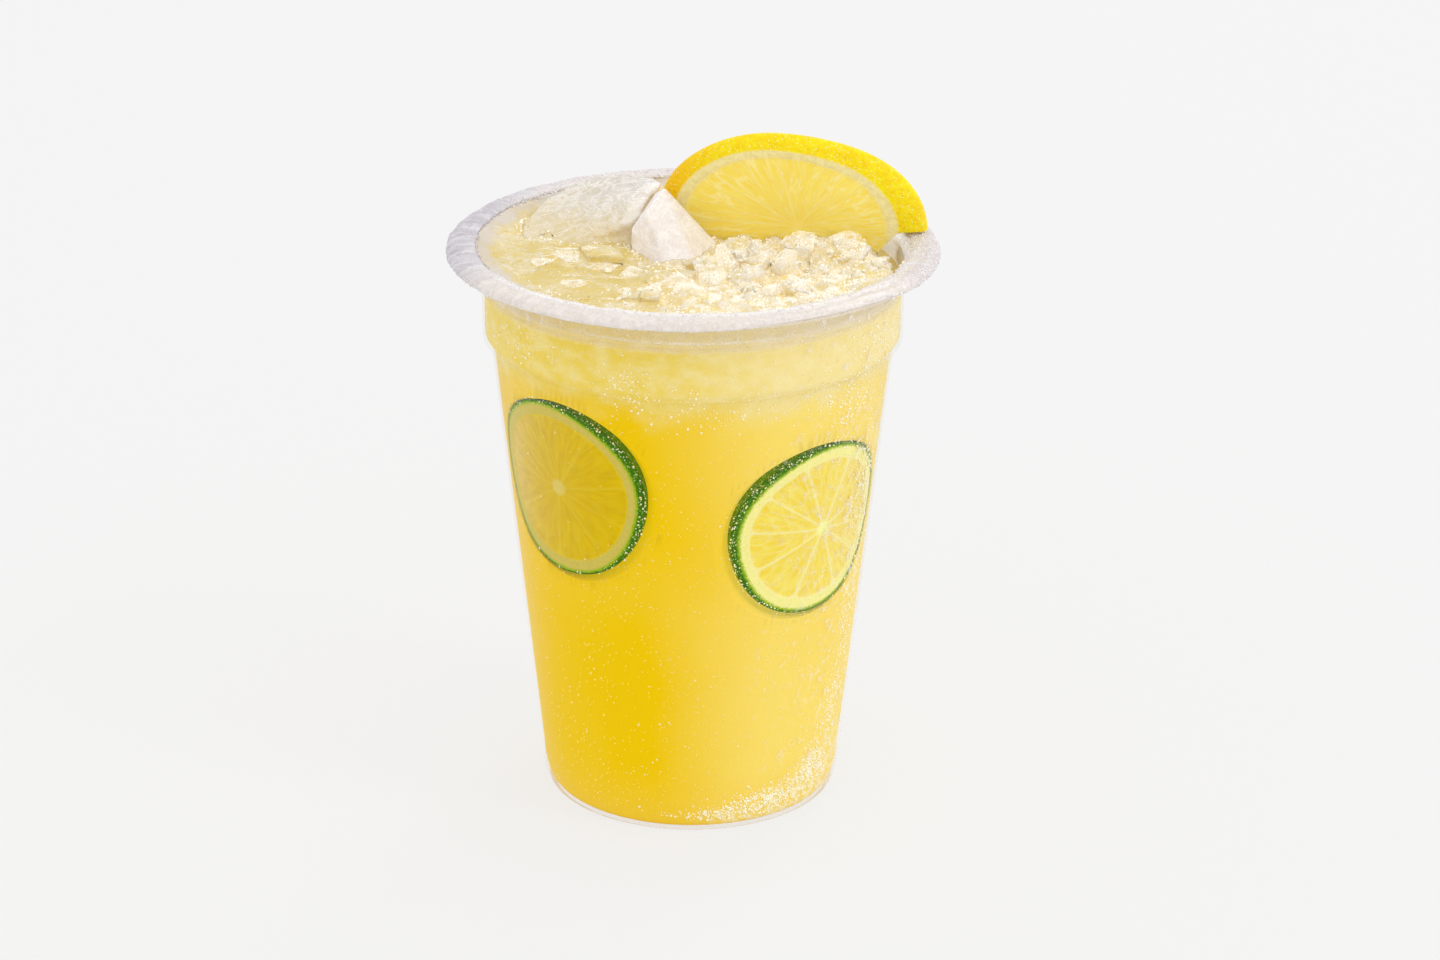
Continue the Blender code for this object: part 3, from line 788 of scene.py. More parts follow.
def makeSugar():
    across, around = sugar["across"], sugar["around"]
    deselectAll()
    bpy.ops.mesh.primitive_torus_add(
        major_segments=around, minor_segments=across, major_radius=cup["lipR"] * mm, minor_radius=mm,
        location=(0, 0, cup["lipZ"] * mm),
    )
    crust = bpy.context.object
    crust.name = crust.data.name = "sugarCrust"
    bpy.ops.object.transform_apply(location=True, rotation=True, scale=True)
    found = points(crust)
    moved = []
    for x, y, z in found:
        reach = hypot(x, y)
        away = (x / reach, y / reach)
        tube = atan2(z - cup["lipZ"], reach - cup["lipR"])  # angle round the tube
        low = crustFrom(atan2(x, -y))
        middle = 0.5 * (low + sugar["to"])
        turned = atan2(sin(tube - middle), cos(tube - middle))
        half = 0.5 * (sugar["to"] - low)
        # the outer half of the tube becomes the crust's top, the other half its seat on the lip
        if abs(turned) <= pi / 2:
            share = turned / (pi / 2)
            angle = middle + half * share
            edge = min(1.0, (1 - abs(share)) / 0.12)
            thick = crustThick(*away, angle) * (0.25 + 0.75 * edge)
            bits = noise.noise(Vector((x, y, z + angle * 3)) * 1.1) * 0.22
            bits += abs(noise.noise(Vector((x, y, z + angle * 3)) * 2.3)) * 0.28
            radius, height = lipPoint(angle, 0.05 + thick + bits * edge)
        else:
            share = (pi - abs(turned)) / (pi / 2) * (1 if turned > 0 else -1)
            radius, height = lipPoint(middle + half * share, -0.05)
        moved.append((away[0] * radius, away[1] * radius, height))
    setPoints(crust, moved)
    smooth(crust)
    dress(crust, sugarPaint(), ["sugar_rim"])

    deselectAll()
    bpy.ops.mesh.primitive_cube_add(size=mm)
    grain = bpy.context.object
    editAll()
    bpy.ops.mesh.bevel(offset=0.12 * mm, segments=1)
    bpy.ops.object.mode_set(mode="OBJECT")
    rng = random.Random(sugar["seed"])
    places = []
    while len(places) < sugar["crystals"]:
        heading = rng.uniform(0, tau)
        away = spotAt(1, heading, 0)
        angle = rng.uniform(crustFrom(atan2(away.x, -away.y)), sugar["to"])
        front = max(0.0, -away.y)
        inside = cos(angle) < 0.15
        # few at the front and at the left, where the sugar is wet
        if rng.random() < front * (0.5 if inside else 1.6) or rng.random() < (-0.5 - away.x) * 1.4:
            continue
        size = rng.uniform(*sugar["size"])
        radius, height = lipPoint(angle, crustThick(away.x, away.y, angle) - 0.1 * size)
        spot = away * radius + Vector((0, 0, height))
        spin = randomSpin(rng)
        places.append((0, Matrix.Translation(spot) @ spin @ Matrix.Diagonal((size, size, size * 1.2, 1.0))))
    crystals = joinedCopies("sugarCrystals", [grain], places)
    remove(grain)
    dress(crystals, crystalPaint())
    print("sugar made")


# Lemon slice
lemon = {
    "centre": Vector((18.8, 8.0, 117.5)), "heading": radians(12.0), "lean": radians(18.6),
    "thick": 4.9, "oval": 0.814, "slant": (2.1, -1.7), "around": 300,
    "chord": 17.6, "chordAngle": radians(-39.3), "chordSlope": 0.45,
    "section": ((22.6, 0.0), (25.0, 0.7), (26.6, 1.7), (26.9, 2.7), (26.0, 3.9), (24.0, 4.9)),
    "flesh": 20.5, "fan": (2.1, -0.6), "segments": 9,
}


def lemonAxes():
    heading, lean = lemon["heading"], lemon["lean"]
    out = Vector((-sin(heading) * cos(lean), -cos(heading) * cos(lean), -sin(lean)))
    along = Vector((cos(heading), -sin(heading), 0))
    return out, along, out.cross(along)


def lemonReach(turn, radius, chord):
    oval = 1 / sqrt(cos(turn) ** 2 + (sin(turn) / lemon["oval"]) ** 2)
    uneven = 1 + 0.012 * cos(2 * turn) + 0.009 * sin(3 * turn) - 0.0075 * cos(5 * turn)
    reach = radius * oval * uneven
    facing = cos(turn - lemon["chordAngle"])
    return min(reach, chord / facing) if facing > 0.2 and sin(turn) < -0.02 else reach


def peelRows():
    # the section's corners rounded by a smooth curve through them
    corners = [Vector((r, d)) for r, d in lemon["section"]]
    rows = []
    for i in range(len(corners) - 1):
        before, one = corners[max(0, i - 1)], corners[i]
        two, after = corners[i + 1], corners[min(len(corners) - 1, i + 2)]
        for k in range(6):
            t = k / 6
            spot = 0.5 * (
                2 * one + (two - before) * t + (2 * before - 5 * one + 4 * two - after) * t * t
                + (3 * one - before - 3 * two + after) * t ** 3
            )
            rows.append((spot.x, spot.y))
    return rows + [tuple(corners[-1])]


def lemonPaint():
    p = Paint("lemon look")
    place = p.place()
    u, v, _ = p.split(p.node("ShaderNodeUVMap", {"uv_map": "plane"}))
    band = p.attribute("band")
    fanU, fanV = u - lemon["fan"][0], v - lemon["fan"][1]
    turn = fanV.maths("ARCTAN2", fanU)
    reach = (fanU * fanU + fanV * fanV).root()
    grain = p.noise(place, 0.9, 4.0, 0.6)
    broad = p.noise(place, 0.14, 3.0, 0.5)
    bent = turn + (broad - 0.5) * 0.22
    streaks = p.cells(p.join(bent * 13.0, reach * 0.1, 3.0), 1.0, "DISTANCE_TO_EDGE")
    opened = reach.rise(0.5, 5.0)
    line = streaks.fall(0.012, 0.075) * opened
    spread = lemon["segments"] / tau
    wave = (turn + 0.35 + 0.1 * (2 * turn).sine()) * spread
    toRim = lemon["flesh"] - 0.2 + (broad - 0.5) * 1.6 - band
    skin = segmentInset(wave, spread, reach, toRim, 2.4).between(-0.25, 0.0, 0.1, 0.35)
    sacs = p.noise(p.join(bent * 11.0, reach * 0.2, 5.0), 1.3, 3.0, 0.6)
    # painted highlights: short glints on the flesh
    glint = p.noise(p.join(bent * 16.0, reach * 0.5, 8.0), 1.0, 2.0, 0.5).rise(0.66, 0.74)
    flesh = p.mix(sacs.rise(0.3, 0.7), (250, 226, 92), (252, 234, 122))
    flesh = p.mix(broad.rise(0.35, 0.7) * 0.35, flesh, (248, 222, 90))
    flesh = p.mix(line * 0.42, flesh, (255, 246, 190))
    flesh = p.mix(skin * 0.25, flesh, (252, 242, 184))
    flesh = p.mix(glint * 0.55, flesh, (255, 252, 220))
    wobble = band + (broad - 0.5) * 1.6
    pith = p.mix(grain.rise(0.35, 0.65), (232, 219, 156), (244, 234, 178))
    face = p.mix(wobble.rise(lemon["flesh"] - 0.7, lemon["flesh"] + 0.2), flesh, pith)
    pores = p.cells(place, 0.95)
    zest = p.mix(grain.rise(0.3, 0.7), (255, 218, 2), (255, 238, 24))
    zest = p.mix(broad.rise(0.5, 0.72) * 0.4, zest, (252, 206, 4))
    zest = p.mix(1.0 - u.rise(-26.0, -12.0), zest, (255, 202, 4))
    # white specks on the peel: painted glints, and small bubbles
    sparkle = 1.0 - p.cells(place, 1.7).rise(0.12, 0.26)
    zest = p.mix(sparkle * grain.rise(0.36, 0.5), zest, (255, 252, 190))
    edge = (band + (grain - 0.5) * 0.8).rise(22.3, 23.0)
    colour = p.mix(edge, face, zest)
    colour = p.mix(p.attribute("back"), colour, p.mix(band.rise(19.5, 20.5), flesh, pith))
    height = edge * pores.fall(0.1, 0.5) * -0.3
    height = height + (1.0 - edge) * (line * 0.1 + sacs * opened * 0.06)
    # painted light: the flesh glows a little, to lighten the face that turns away from the lamps
    lit = p.mix(edge, flesh, (0.0, 0.0, 0.0))
    return p.finish(p.principled(
        Base_Color=colour, Roughness=0.35, Specular_IOR_Level=0.2, Normal=p.bump(height, 0.5, 0.7),
        Emission_Color=lit, Emission_Strength=0.09,
    ))


def makeLemon():
    face = [(0.5 * k + 0.3, 0.0) for k in range(45)]
    rows = face + peelRows() + [(22.0, lemon["thick"]), (12.0, lemon["thick"]), (0.3, lemon["thick"])]
    disc = turnedSolid("lemonFruit", rows, lemon["around"])
    found = points(disc)
    out, along, up = lemonAxes()
    turned = np.arctan2(found[:, 1], found[:, 0])
    band = np.hypot(found[:, 0], found[:, 1])
    depth = found[:, 2]
    flat, moved = [], []
    for turn, radius, deep in zip(turned, band, depth):
        share = deep / lemon["thick"]
        middle = lemon["centre"] + (along * lemon["slant"][0] + up * lemon["slant"][1]) * share
        chord = (lemon["chord"] - lemon["chordSlope"] * deep) * min(1, radius / 20)
        reach = lemonReach(turn, radius, chord)
        x, y = reach * cos(turn), reach * sin(turn)
        relief = 0.0
        if deep < 0.01:
            fanTurn = atan2(y - lemon["fan"][1], x - lemon["fan"][0])
            fanReach = hypot(y - lemon["fan"][1], x - lemon["fan"][0])
            sacs = noise.noise(Vector((fanTurn * 9, fanReach * 0.22, 1.0)))
            sacs *= min(1.0, fanReach / 6)
            relief = (0.28 + 0.08 * sacs) * min(1.0, max(0.0, (lemon["flesh"] + 0.4 - radius) / 1.2))
        moved.append(tuple(middle - out * (deep + relief) + along * x + up * y))
        flat.append((x, y))
    setPlane(disc, flat)
    setAttribute(disc, "band", band)
    setAttribute(disc, "back", np.where((depth > 4.6) & (band < 23.9), 1.0, 0.0))
    setPoints(disc, moved)
    faceOutward(disc)
    smooth(disc, 40)
    dress(disc, lemonPaint(), ["lemon_slice"])
    print("lemon slice made")


# Ice
ice = {
    "voxel": 0.45, "edgeR": 41.2, "shards": 300, "films": 45, "grains": 4200, "seed": 23,
    "lift": 1.3, "fillet": 2.4, "melt": 60, "foot": 110.0, "firm": 110.3,
    "placed": [  # x, y, size, thickness of the shards that stand out
        (18.6, -10.0, 6.0, 0.9), (6.2, -12.0, 7.0, 0.5), (4.0, -18.0, 6.0, 0.5), (22.0, -2.0, 6.5, 0.7),
        (28.0, -8.0, 5.5, 0.7), (11.0, -3.0, 6.0, 0.5), (31.0, -1.5, 5.0, 0.7), (13.5, -14.0, 4.8, 0.6),
        (-4.0, -16.0, 6.0, 0.35), (-18.0, -6.0, 8.0, 0.2), (-25.0, -2.0, 8.0, 0.2),
        (-12.0, -10.0, 7.0, 0.25), (-30.0, -8.0, 6.0, 0.2), (33.0, -9.0, 4.6, 0.6),
        (24.0, -14.0, 4.6, 0.6), (0.0, -25.0, 4.5, 0.4),
    ],
}


def crinkles(p, place, scale, seed=0.0, wide=0.05):
    # crooked lines, as of crumpled film
    moved = p.node("ShaderNodeVectorMath", {"operation": "ADD"}, [place, (seed, -seed, seed)])
    ridge = 1.0 - (p.noise(moved, scale, 5.0, 0.62, 1.1) - 0.5).absolute() * 2.0
    return ridge.rise(1.0 - wide, 1.0 - 0.1 * wide)


def heapPaint():
    p = Paint("crushed ice")
    place = p.place()
    x, y, z = p.split(place)
    frost, side, hollow = (p.attribute(name) for name in ("frost", "side", "hollow"))
    warp = p.noise(place, 0.3, 3.0, 0.6)
    patch = p.noise(place, 0.16, 3.0, 0.6)
    lines = crinkles(p, place, 0.5)
    thin = crinkles(p, place, 1.3, 5.0)
    fine = p.noise(place, 1.8, 3.0, 0.65)
    dots = 1.0 - p.cells(place, 0.85).rise(0.12, 0.2)
    small = 1.0 - p.cells(place, 1.9).rise(0.14, 0.24)
    broken = (x + (warp - 0.5) * 16.0 - y * 0.3).rise(-12.0, 12.0)
    wet = p.mix(warp.rise(0.35, 0.7), (225, 199, 108), (226, 204, 132))
    wet = p.mix(broken * 0.85, wet, (236, 213, 142))
    white = p.mix(fine.rise(0.35, 0.7), (240, 231, 215), (255, 252, 247))
    film = crinkles(p, place, 0.34, 11.0, 0.14)
    mask = frost * (0.2 + 0.3 * broken) + lines * (0.15 + 0.8 * patch.rise(0.42, 0.6))
    mask = mask + thin * (0.55 * broken + 0.8 * patch.rise(0.46, 0.6)) + dots * 0.9
    mask = mask + film * patch.rise(0.44, 0.6) * 0.45 + fine.rise(0.57, 0.64) * broken * 0.6
    # painted highlight: the lumps turn white towards their outlines
    mask = mask + p.facing().rise(0.74, 0.97) * broken * 0.6
    mask = mask + small * broken * patch.rise(0.35, 0.6) * 0.9 + (fine - 0.5) * 0.3 * broken
    mask = mask.clear() * (0.72 + 0.28 * broken)
    top = p.mix(mask, wet, white)
    # a greyish veil where the slush meets the sugar at the back and the left
    reach = (x * x + y * y).root() + (warp - 0.5) * 6.0
    rimVeil = reach.rise(39.0, 42.0) * (1.0 - (x * 0.9 - y * 0.5).rise(-24.0, 2.0))
    top = p.mix(rimVeil * 0.7, top, (216, 208, 206))
    colour = p.mix(side, top, drinkColour(p, place))
    # painted light: the slush glows a little, and more in its hollows, to lift the shade between the lumps
    glow = p.mix((0.22 + 0.78 * hollow) * (1.0 - side), (0.0, 0.0, 0.0), colour)
    return p.finish(p.principled(
        Base_Color=colour, Roughness=0.22, Specular_IOR_Level=0.2,
        Emission_Color=glow, Emission_Strength=0.17,
        Normal=p.bump(fine * 0.3 + lines * 0.2 + thin * 0.15, 0.4, 0.4),
    ))


def clearIcePaint():
    p = Paint("clear ice")
    place = p.place()
    cloud = p.noise(place, 0.9, 4.0, 0.65)
    lines = (crinkles(p, place, 0.7, 3.0) + crinkles(p, place, 1.6, 9.0)).clear()
    # painted reflection: the shards turn white towards their outlines
    veil = 0.04 + p.facing().rise(0.6, 0.95) * 0.35 + cloud.rise(0.54, 0.68) * 0.2
    veil = (veil + lines * 0.8).clear()
    # painted light: the white part glows a little, to lift its shade
    white = p.principled(
        Base_Color=srgb(255, 252, 246), Roughness=0.12, Specular_IOR_Level=0.5,
        Emission_Color=(1.0, 0.95, 0.84), Emission_Strength=0.18,
        Normal=p.bump(p.noise(place, 1.1, 3.0, 0.6), 0.3, 0.5),
    )
    through = p.node("ShaderNodeBsdfTransparent", {}, {"Color": (0.99, 0.99, 0.98, 1.0)})
    return p.finish(p.node("ShaderNodeMixShader", {}, [veil, through, white]))


def frostPaint():
    p = Paint("frosted ice")
    tone = p.noise(p.place(), 1.2, 3.0, 0.6)
    colour = p.mix(tone.rise(0.3, 0.7), (252, 245, 232), (255, 254, 252))
    # painted light: the frost glows a little, to lift its shade
    return p.finish(p.principled(
        Base_Color=colour, Roughness=0.2, Specular_IOR_Level=0.5,
        Emission_Color=(1.0, 0.97, 0.9), Emission_Strength=0.17,
    ))


def edgesOf(obj):
    ends = np.empty(len(obj.data.edges) * 2, np.int32)
    obj.data.edges.foreach_get("vertices", ends)
    return ends.reshape(-1, 2)


def evened(values, edges, share, rounds):
    # each value drawn towards its neighbours' mean
    count = np.bincount(edges.ravel(), minlength=len(values))
    for _ in range(rounds):
        total = np.bincount(edges[:, 0], values[edges[:, 1]], len(values))
        total += np.bincount(edges[:, 1], values[edges[:, 0]], len(values))
        values = values + share * (total / count - values)
    return values


def bulgeOf(found, normal, edges, share):  # how far each point stands out from its neighbours
    mean = np.stack([evened(found[:, k], edges, 1.0, 1) for k in range(3)], -1)
    return evened(((found - mean) * normal).sum(1), edges, share, 2)


def remeshed(node, name, voxel):
    obj = copyOfNode(node, name)
    obj.data.remesh_voxel_size = voxel * mm
    bpy.ops.object.voxel_remesh()
    return obj, points(obj), vertexNormals(obj), edgesOf(obj)


def nearness(found, trees, wide):
    # 1 at the trees' surfaces, 0 from the given distance on
    close = np.zeros(len(found))
    for i in np.nonzero(found[:, 2] > ice["firm"])[0]:
        for tree in trees:
            away = tree.find_nearest(Vector(found[i]), wide)[3]
            if away is not None:
                close[i] = max(close[i], 1 - away / wide)
    return close


def makeHeap():
    heap, found, normal, edges = remeshed("crushed_ice", "iceHeap", ice["voxel"])
    reach = np.hypot(found[:, 0], found[:, 1])
    # it ends short of the wall under the lemon's outer end
    near = (np.arctan2(found[:, 1], found[:, 0]) - 0.1) / 0.3
    edgeR = ice["edgeR"] - 3.4 * np.exp(-near * near)
    full = unit((edgeR - 40.6) / 0.5)
    atWall = (np.abs(normal[:, 2]) < 0.6) & (reach > 0.97 * edgeR) & (full > 0.5)
    rim = unit((reach / edgeR - 0.93) / 0.06) * full
    top = unit((normal[:, 2] + 0.1) / 0.4) * (found[:, 2] > ice["firm"])
    # the left half is slush, in which the lumps have melted down
    mixed = found[:, 0] + 10 * noiseAt(found, 0.08, 1.0) - 0.3 * found[:, 1]
    broken = np.clip((mixed + 10) / 16, 0.06, 1)
    found[:, 2] = evened(found[:, 2], edges, 0.7 * top * (1 - rim) * (1.12 - broken), ice["melt"])
    # it climbs the wall to the sugar, and clings to the large pieces
    climb = unit((reach / edgeR - 0.88) / 0.12) ** 2 * full
    found[:, 2] += ice["lift"] * climb * unit((found[:, 2] - ice["foot"]) / 1.5)
    trees = [treeOf(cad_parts[node]) for node in ("ice_block", "ice_slab", "lemon_slice")]
    close = nearness(found, trees, ice["fillet"])
    found[:, 2] += 1.0 * close ** 2 * top
    wall = np.array([insideR(z) for z in found[:, 2]])
    stretched = reach + (wall - np.minimum(reach, edgeR * 1.014)) * rim
    stretched = np.where(atWall, wall, stretched)
    rough = (noiseAt(found, 0.8, 3.0) * 0.3 + noiseAt(found, 0.24, 8.0) * 1.9 + 0.2) * broken
    patch = unit(noiseAt(found, 0.1, 12.0) * 3 + 0.5)
    crease = unit(1 - np.abs(noiseAt(found, 0.3, 15.0)) * 6) ** 2
    rough += (noiseAt(found, 0.13, 5.0) * 0.5 + crease * patch * 0.45) * (1 - broken)
    found[:, :2] *= (stretched / np.maximum(reach, 1e-6))[:, None]
    found += normal * (rough * top * (1 - rim))[:, None]
    found[:, 2] = np.where(found[:, 2] < ice["foot"], drink["level"], found[:, 2])
    setPoints(heap, found)
    # frost where the surface bulges, and a painted highlight there: crests are whiter than hollows
    bulge = bulgeOf(found, vertexNormals(heap), edges, 0.5)
    # and whatever stands out of the slush round it, found on a grid, is whiter too
    gridHalf, cellWide, cells = 50, 0.8, 130
    cell = ((found[:, :2] + gridHalf) / cellWide).astype(int)
    high = np.full((cells, cells), ice["foot"])
    np.maximum.at(high, (cell[:, 0], cell[:, 1]), found[:, 2])
    level = high.copy()
    for _ in range(5):
        level = sum((np.roll(level, *by) for by in ((1, 0), (-1, 0), (1, 1), (-1, 1))), level) / 5
    above = found[:, 2] - level[cell[:, 0], cell[:, 1]]
    raised = unit((above + 0.05) / 1.2) * (1 - rim)
    setAttribute(heap, "frost", unit(bulge / 0.035 + 0.05 + 0.75 * raised + 0.3 * close ** 2))
    # painted light: the sunken places between the lumps are marked to glow, lifting their shade
    setAttribute(heap, "hollow", unit(-above / 1.2 - bulge / 0.08) * np.maximum(broken, 0.3))
    setAttribute(heap, "side", atWall.astype(float))
    smooth(heap)
    dress(heap, heapPaint(), ["crushed_ice"])
    print("heap made")
    return heap


def makeShardKinds(rng, clear, frosted):
    kinds = []
    for k in range(7):
        deselectAll()
        bpy.ops.mesh.primitive_ico_sphere_add(subdivisions=1, radius=0.55 * mm)
        kind = bpy.context.object
        kind.data.materials.append(clear)
        kind.data.materials.append(frosted)
        editAll()
        bpy.ops.transform.resize(value=(1.0, rng.uniform(0.6, 0.95), rng.uniform(0.35, 0.8)))
        bpy.ops.transform.vertex_random(offset=0.3 * mm, uniform=0.6, normal=0.0, seed=k + 3)
        bpy.ops.mesh.convex_hull()
        bpy.ops.mesh.select_all(action="SELECT")
        bpy.ops.mesh.bevel(offset=0.07 * mm, segments=1, material=1)
        bpy.ops.object.mode_set(mode="OBJECT")
        kinds.append(kind)
    return kinds


def makeShards(heap, block, slab):
    rng = random.Random(ice["seed"])
    clear, frosted = clearIcePaint(), frostPaint()
    kinds = makeShardKinds(rng, clear, frosted)
    ground = treeOf(heap)
    blocked = [treeOf(obj) for obj in (block, slab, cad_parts["lemon_slice"])]
    places = list(ice["placed"])
    while len(places) < ice["shards"]:
        x, y, _ = randomSpot(rng, 38.5)
        if rng.random() < 0.35 + 0.016 * x:
            places.append((x, y, rng.uniform(1.0, 3.8), rng.uniform(0.25, 0.8)))
    for _ in range(ice["films"]):
        x, y, _ = randomSpot(rng, 38)
        if x < 8:
            places.append((x, y, rng.uniform(2.5, 6.0), 0.1))
    made = []
    for x, y, size, thick in places:
        film = thick < 0.15
        hit, normal = dropTo(ground, x, y)
        if hit is None:
            continue
        spin = Matrix.Rotation(rng.uniform(0, tau), 4, "Z")
        lean = Matrix.Rotation(rng.uniform(-0.9, 0.9) * (thick > 0.3), 4, "X")
        spot = hit + Vector((0, 0, 0.1 * size * thick))
        near = any(tree.find_nearest(spot)[3] < 0.62 * size for tree in blocked)
        if film:
            near = near or normal.z < 0.8
            spin = normal.to_track_quat("Z", "Y").to_matrix().to_4x4() @ spin
        tooFar = hypot(spot.x, spot.y) + 0.5 * size > 41.0
        if near or tooFar or spot.z + 0.5 * size * (not film) > 121:
            continue
        high = size * (thick if film else max(thick, 0.3) * 1.3)
        matrix = Matrix.Translation(spot) @ spin @ lean @ Matrix.Diagonal((size, size, high, 1.0))
        made.append((rng.randrange(len(kinds)), matrix))
    shards = joinedCopies("iceShards", kinds, made)
    dress(shards, [clear, frosted])
    remove(*kinds)

    grain = roughBall(1, 0.16, 0.6, 0.0, 4)
    made = []
    while len(made) < ice["grains"]:
        x, y, reach = randomSpot(rng, 40.5)
        gather = 0.25 + 0.018 * x + 0.5 * noise.noise(Vector((x, y, 0)) * 0.12) + 0.3 * (reach > 37)
        hit = dropTo(ground, x, y)[0]
        if hit is None:
            continue
        near = min(tree.find_nearest(hit)[3] for tree in blocked)
        if near < 0.25 or (rng.random() > gather and near > 1.6):
            continue
        size = 0.15 + rng.random() ** 2.5 * 0.65
        spin = randomSpin(rng)
        flat = Matrix.Diagonal((size, size * 0.8, size * 0.6, 1.0))
        made.append((0, Matrix.Translation(hit + Vector((0, 0, 0.15 * size))) @ spin @ flat))
    grains = joinedCopies("iceGrains", [grain], made)
    remove(grain)
    dress(grains, frosted)
    print("shards and grains made")


def bigIcePaint(name, look):
    p = Paint(name)
    place = p.place()
    x, y, z = p.split(place)
    broad = p.noise(place, 0.22, 4.0, 0.6)
    fine = p.noise(place, 1.3, 4.0, 0.65)
    lines = crinkles(p, place, look["lines"], 2.0, 0.13) * 0.8
    lines = lines + crinkles(p, place, 0.8, 7.0, 0.09) * 0.7 + crinkles(p, place, 1.6, 4.0) * 0.6
    colour = p.mix(broad.rise(0.35, 0.65), look["low"], look["high"])
    colour = p.mix((1.0 - p.facing().rise(0.25, 0.8)) * look["depth"], colour, look["inside"])
    sunk = 1.0 - (z + (broad - 0.5) * look["ragged"] + (fine - 0.5) * 3.0).rise(*look["sunk"])
    colour = p.mix(sunk, colour, look["wet"])
    dots = 1.0 - p.cells(place, 0.9).rise(0.1, 0.2)
    # white marks: crinkled lines and dots, and a painted highlight on the ridges between the facets
    marks = lines * look["crumpled"] + p.attribute("edge") * 0.7 + dots * 0.4 + fine.rise(0.6, 0.74) * 0.3
    colour = p.mix((marks * (1.0 - 0.5 * sunk)).clear(), colour, look["mark"])
    # painted light: the ice glows a little, to lighten its shaded faces
    return p.finish(p.principled(
        Base_Color=colour, Roughness=0.12, Specular_IOR_Level=0.4,
        Emission_Color=colour, Emission_Strength=look["glow"],
        Normal=p.bump(broad * 0.6 + fine * 0.2 + lines * 0.15, 0.5, 0.25),
    ))


bigIce = {
    "ice_block": {
        "low": (224, 215, 213), "high": (236, 227, 223), "wet": (236, 221, 186), "lines": 0.25,
        "sunk": (110.0, 112.6), "ragged": 4.0, "wave": 0.0, "spread": 0.5, "toBlock": 0.0, "glow": 0.08,
        "mark": (255, 252, 249), "depth": 0.5, "inside": (238, 229, 226), "crumpled": 0.5,
    },
    "ice_slab": {
        "low": (190, 183, 174), "high": (213, 206, 196), "wet": (222, 202, 148), "lines": 0.24,
        "sunk": (112.5, 122.5), "ragged": 9.0, "wave": 0.4, "spread": 2.4, "toBlock": 3.0, "glow": 0.08,
        "mark": (253, 250, 247), "depth": 0.6, "inside": (213, 201, 178), "crumpled": 0.42,
    },
}


def makeBigIce():
    made = []
    for node, look in bigIce.items():
        piece, found, normal, edges = remeshed(node, node.replace("ice_", "ice") + "Melted", 0.3)
        # the ridges between the facets catch the light
        bulge = bulgeOf(found, normal, edges, 0.6)
        setAttribute(piece, "edge", unit((bulge - 0.012) / 0.03))
        wave = noiseAt(found, 0.2, 2.0) * look["wave"]
        wave += noiseAt(found, 0.8, 6.0) * (0.08 + 0.2 * look["wave"])
        wave -= np.abs(noiseAt(found, 0.4, 9.0)) * look["wave"]
        low = unit((115.0 - found[:, 2]) / 2.5) * look["spread"]
        found = found + normal * (wave + 0.1 + low)[:, None]
        # the slab's right end leans on the block
        lean = unit(normal[:, 0]) * unit((26 - found[:, 1]) / 6)
        found[:, 0] += look["toBlock"] * lean
        setPoints(piece, found)
        smooth(piece, 28)
        dress(piece, bigIcePaint(node + " look", look), [node])
        made.append(piece)
    print("ice block and slab made")
    return made


# Frost that sticks to the inner side of the lip
rimFrost = {"count": 1300, "seed": 31, "size": (0.4, 1.4)}


def makeRimFrost():
    rng = random.Random(rimFrost["seed"])
    kinds = [roughBall(2, 0.1, 0.3, 0.7, k + 20) for k in range(4)]
    for kind in kinds:
        smooth(kind)
    places = []
    while len(places) < rimFrost["count"]:
        heading = rng.gauss(0.15, 0.75) if rng.random() < 0.75 else rng.uniform(-pi, pi)
        clump = noise.noise(Vector((sin(heading), cos(heading), 0.3)) * 9)
        if rng.random() > 0.55 + 1.6 * clump:
            continue
        share = rng.random() ** 1.4
        front = max(0.0, cos(heading))
        radius = 41.6 + 2.6 * share + 0.6 * front
        z = 113.5 + 2.1 * share + rng.uniform(-0.25, 0.2) + front * (0.5 + 0.7 * (1 - share))
        size = rng.uniform(*rimFrost["size"]) * (1.1 - 0.5 * share) * (0.7 + 0.6 * max(0, clump))
        spot = spotAt(radius, heading, z)
        if spot.x > 30 and spot.y > -6:
            continue
        spin = randomSpin(rng)
        flat = Matrix.Diagonal((size, size * rng.uniform(0.6, 1.0), size * 0.75, 1.0))
        places.append((rng.randrange(len(kinds)), Matrix.Translation(spot) @ spin @ flat))
    frost = joinedCopies("rimFrost", kinds, places)
    remove(*kinds)
    smooth(frost)
    dress(frost, frostPaint())
    print("rim frost made")


# Threads and films of frost that run over the slush
wisps = {
    "count": 7, "seed": 5, "radius": (0.03, 0.06), "steps": 11, "sides": 4,
    "bundles": [  # x, y, heading, spread
        (-19.0, 3.0, -0.5, 3.0), (-14.0, -4.5, -0.6, 3.0), (-27.0, 0.5, 0.3, 3.5), (-32.0, -4.0, -0.8, 2.5),
        (-24.0, -12.0, 0.1, 4.0), (-10.0, -12.0, 0.2, 3.5), (-17.0, 16.0, -0.2, 5.0),
        (-38.0, -12.0, -0.9, 1.5),
        (-2.0, -14.0, 0.3, 3.0), (-29.0, 9.0, 0.2, 3.0), (-20.0, 22.0, 0.1, 3.0), (-24.0, -6.0, 0.5, 3.0),
        (4.0, -20.0, 0.4, 3.0), (12.0, -12.0, 0.9, 3.0), (22.0, -10.0, -0.4, 3.0),
    ],
}


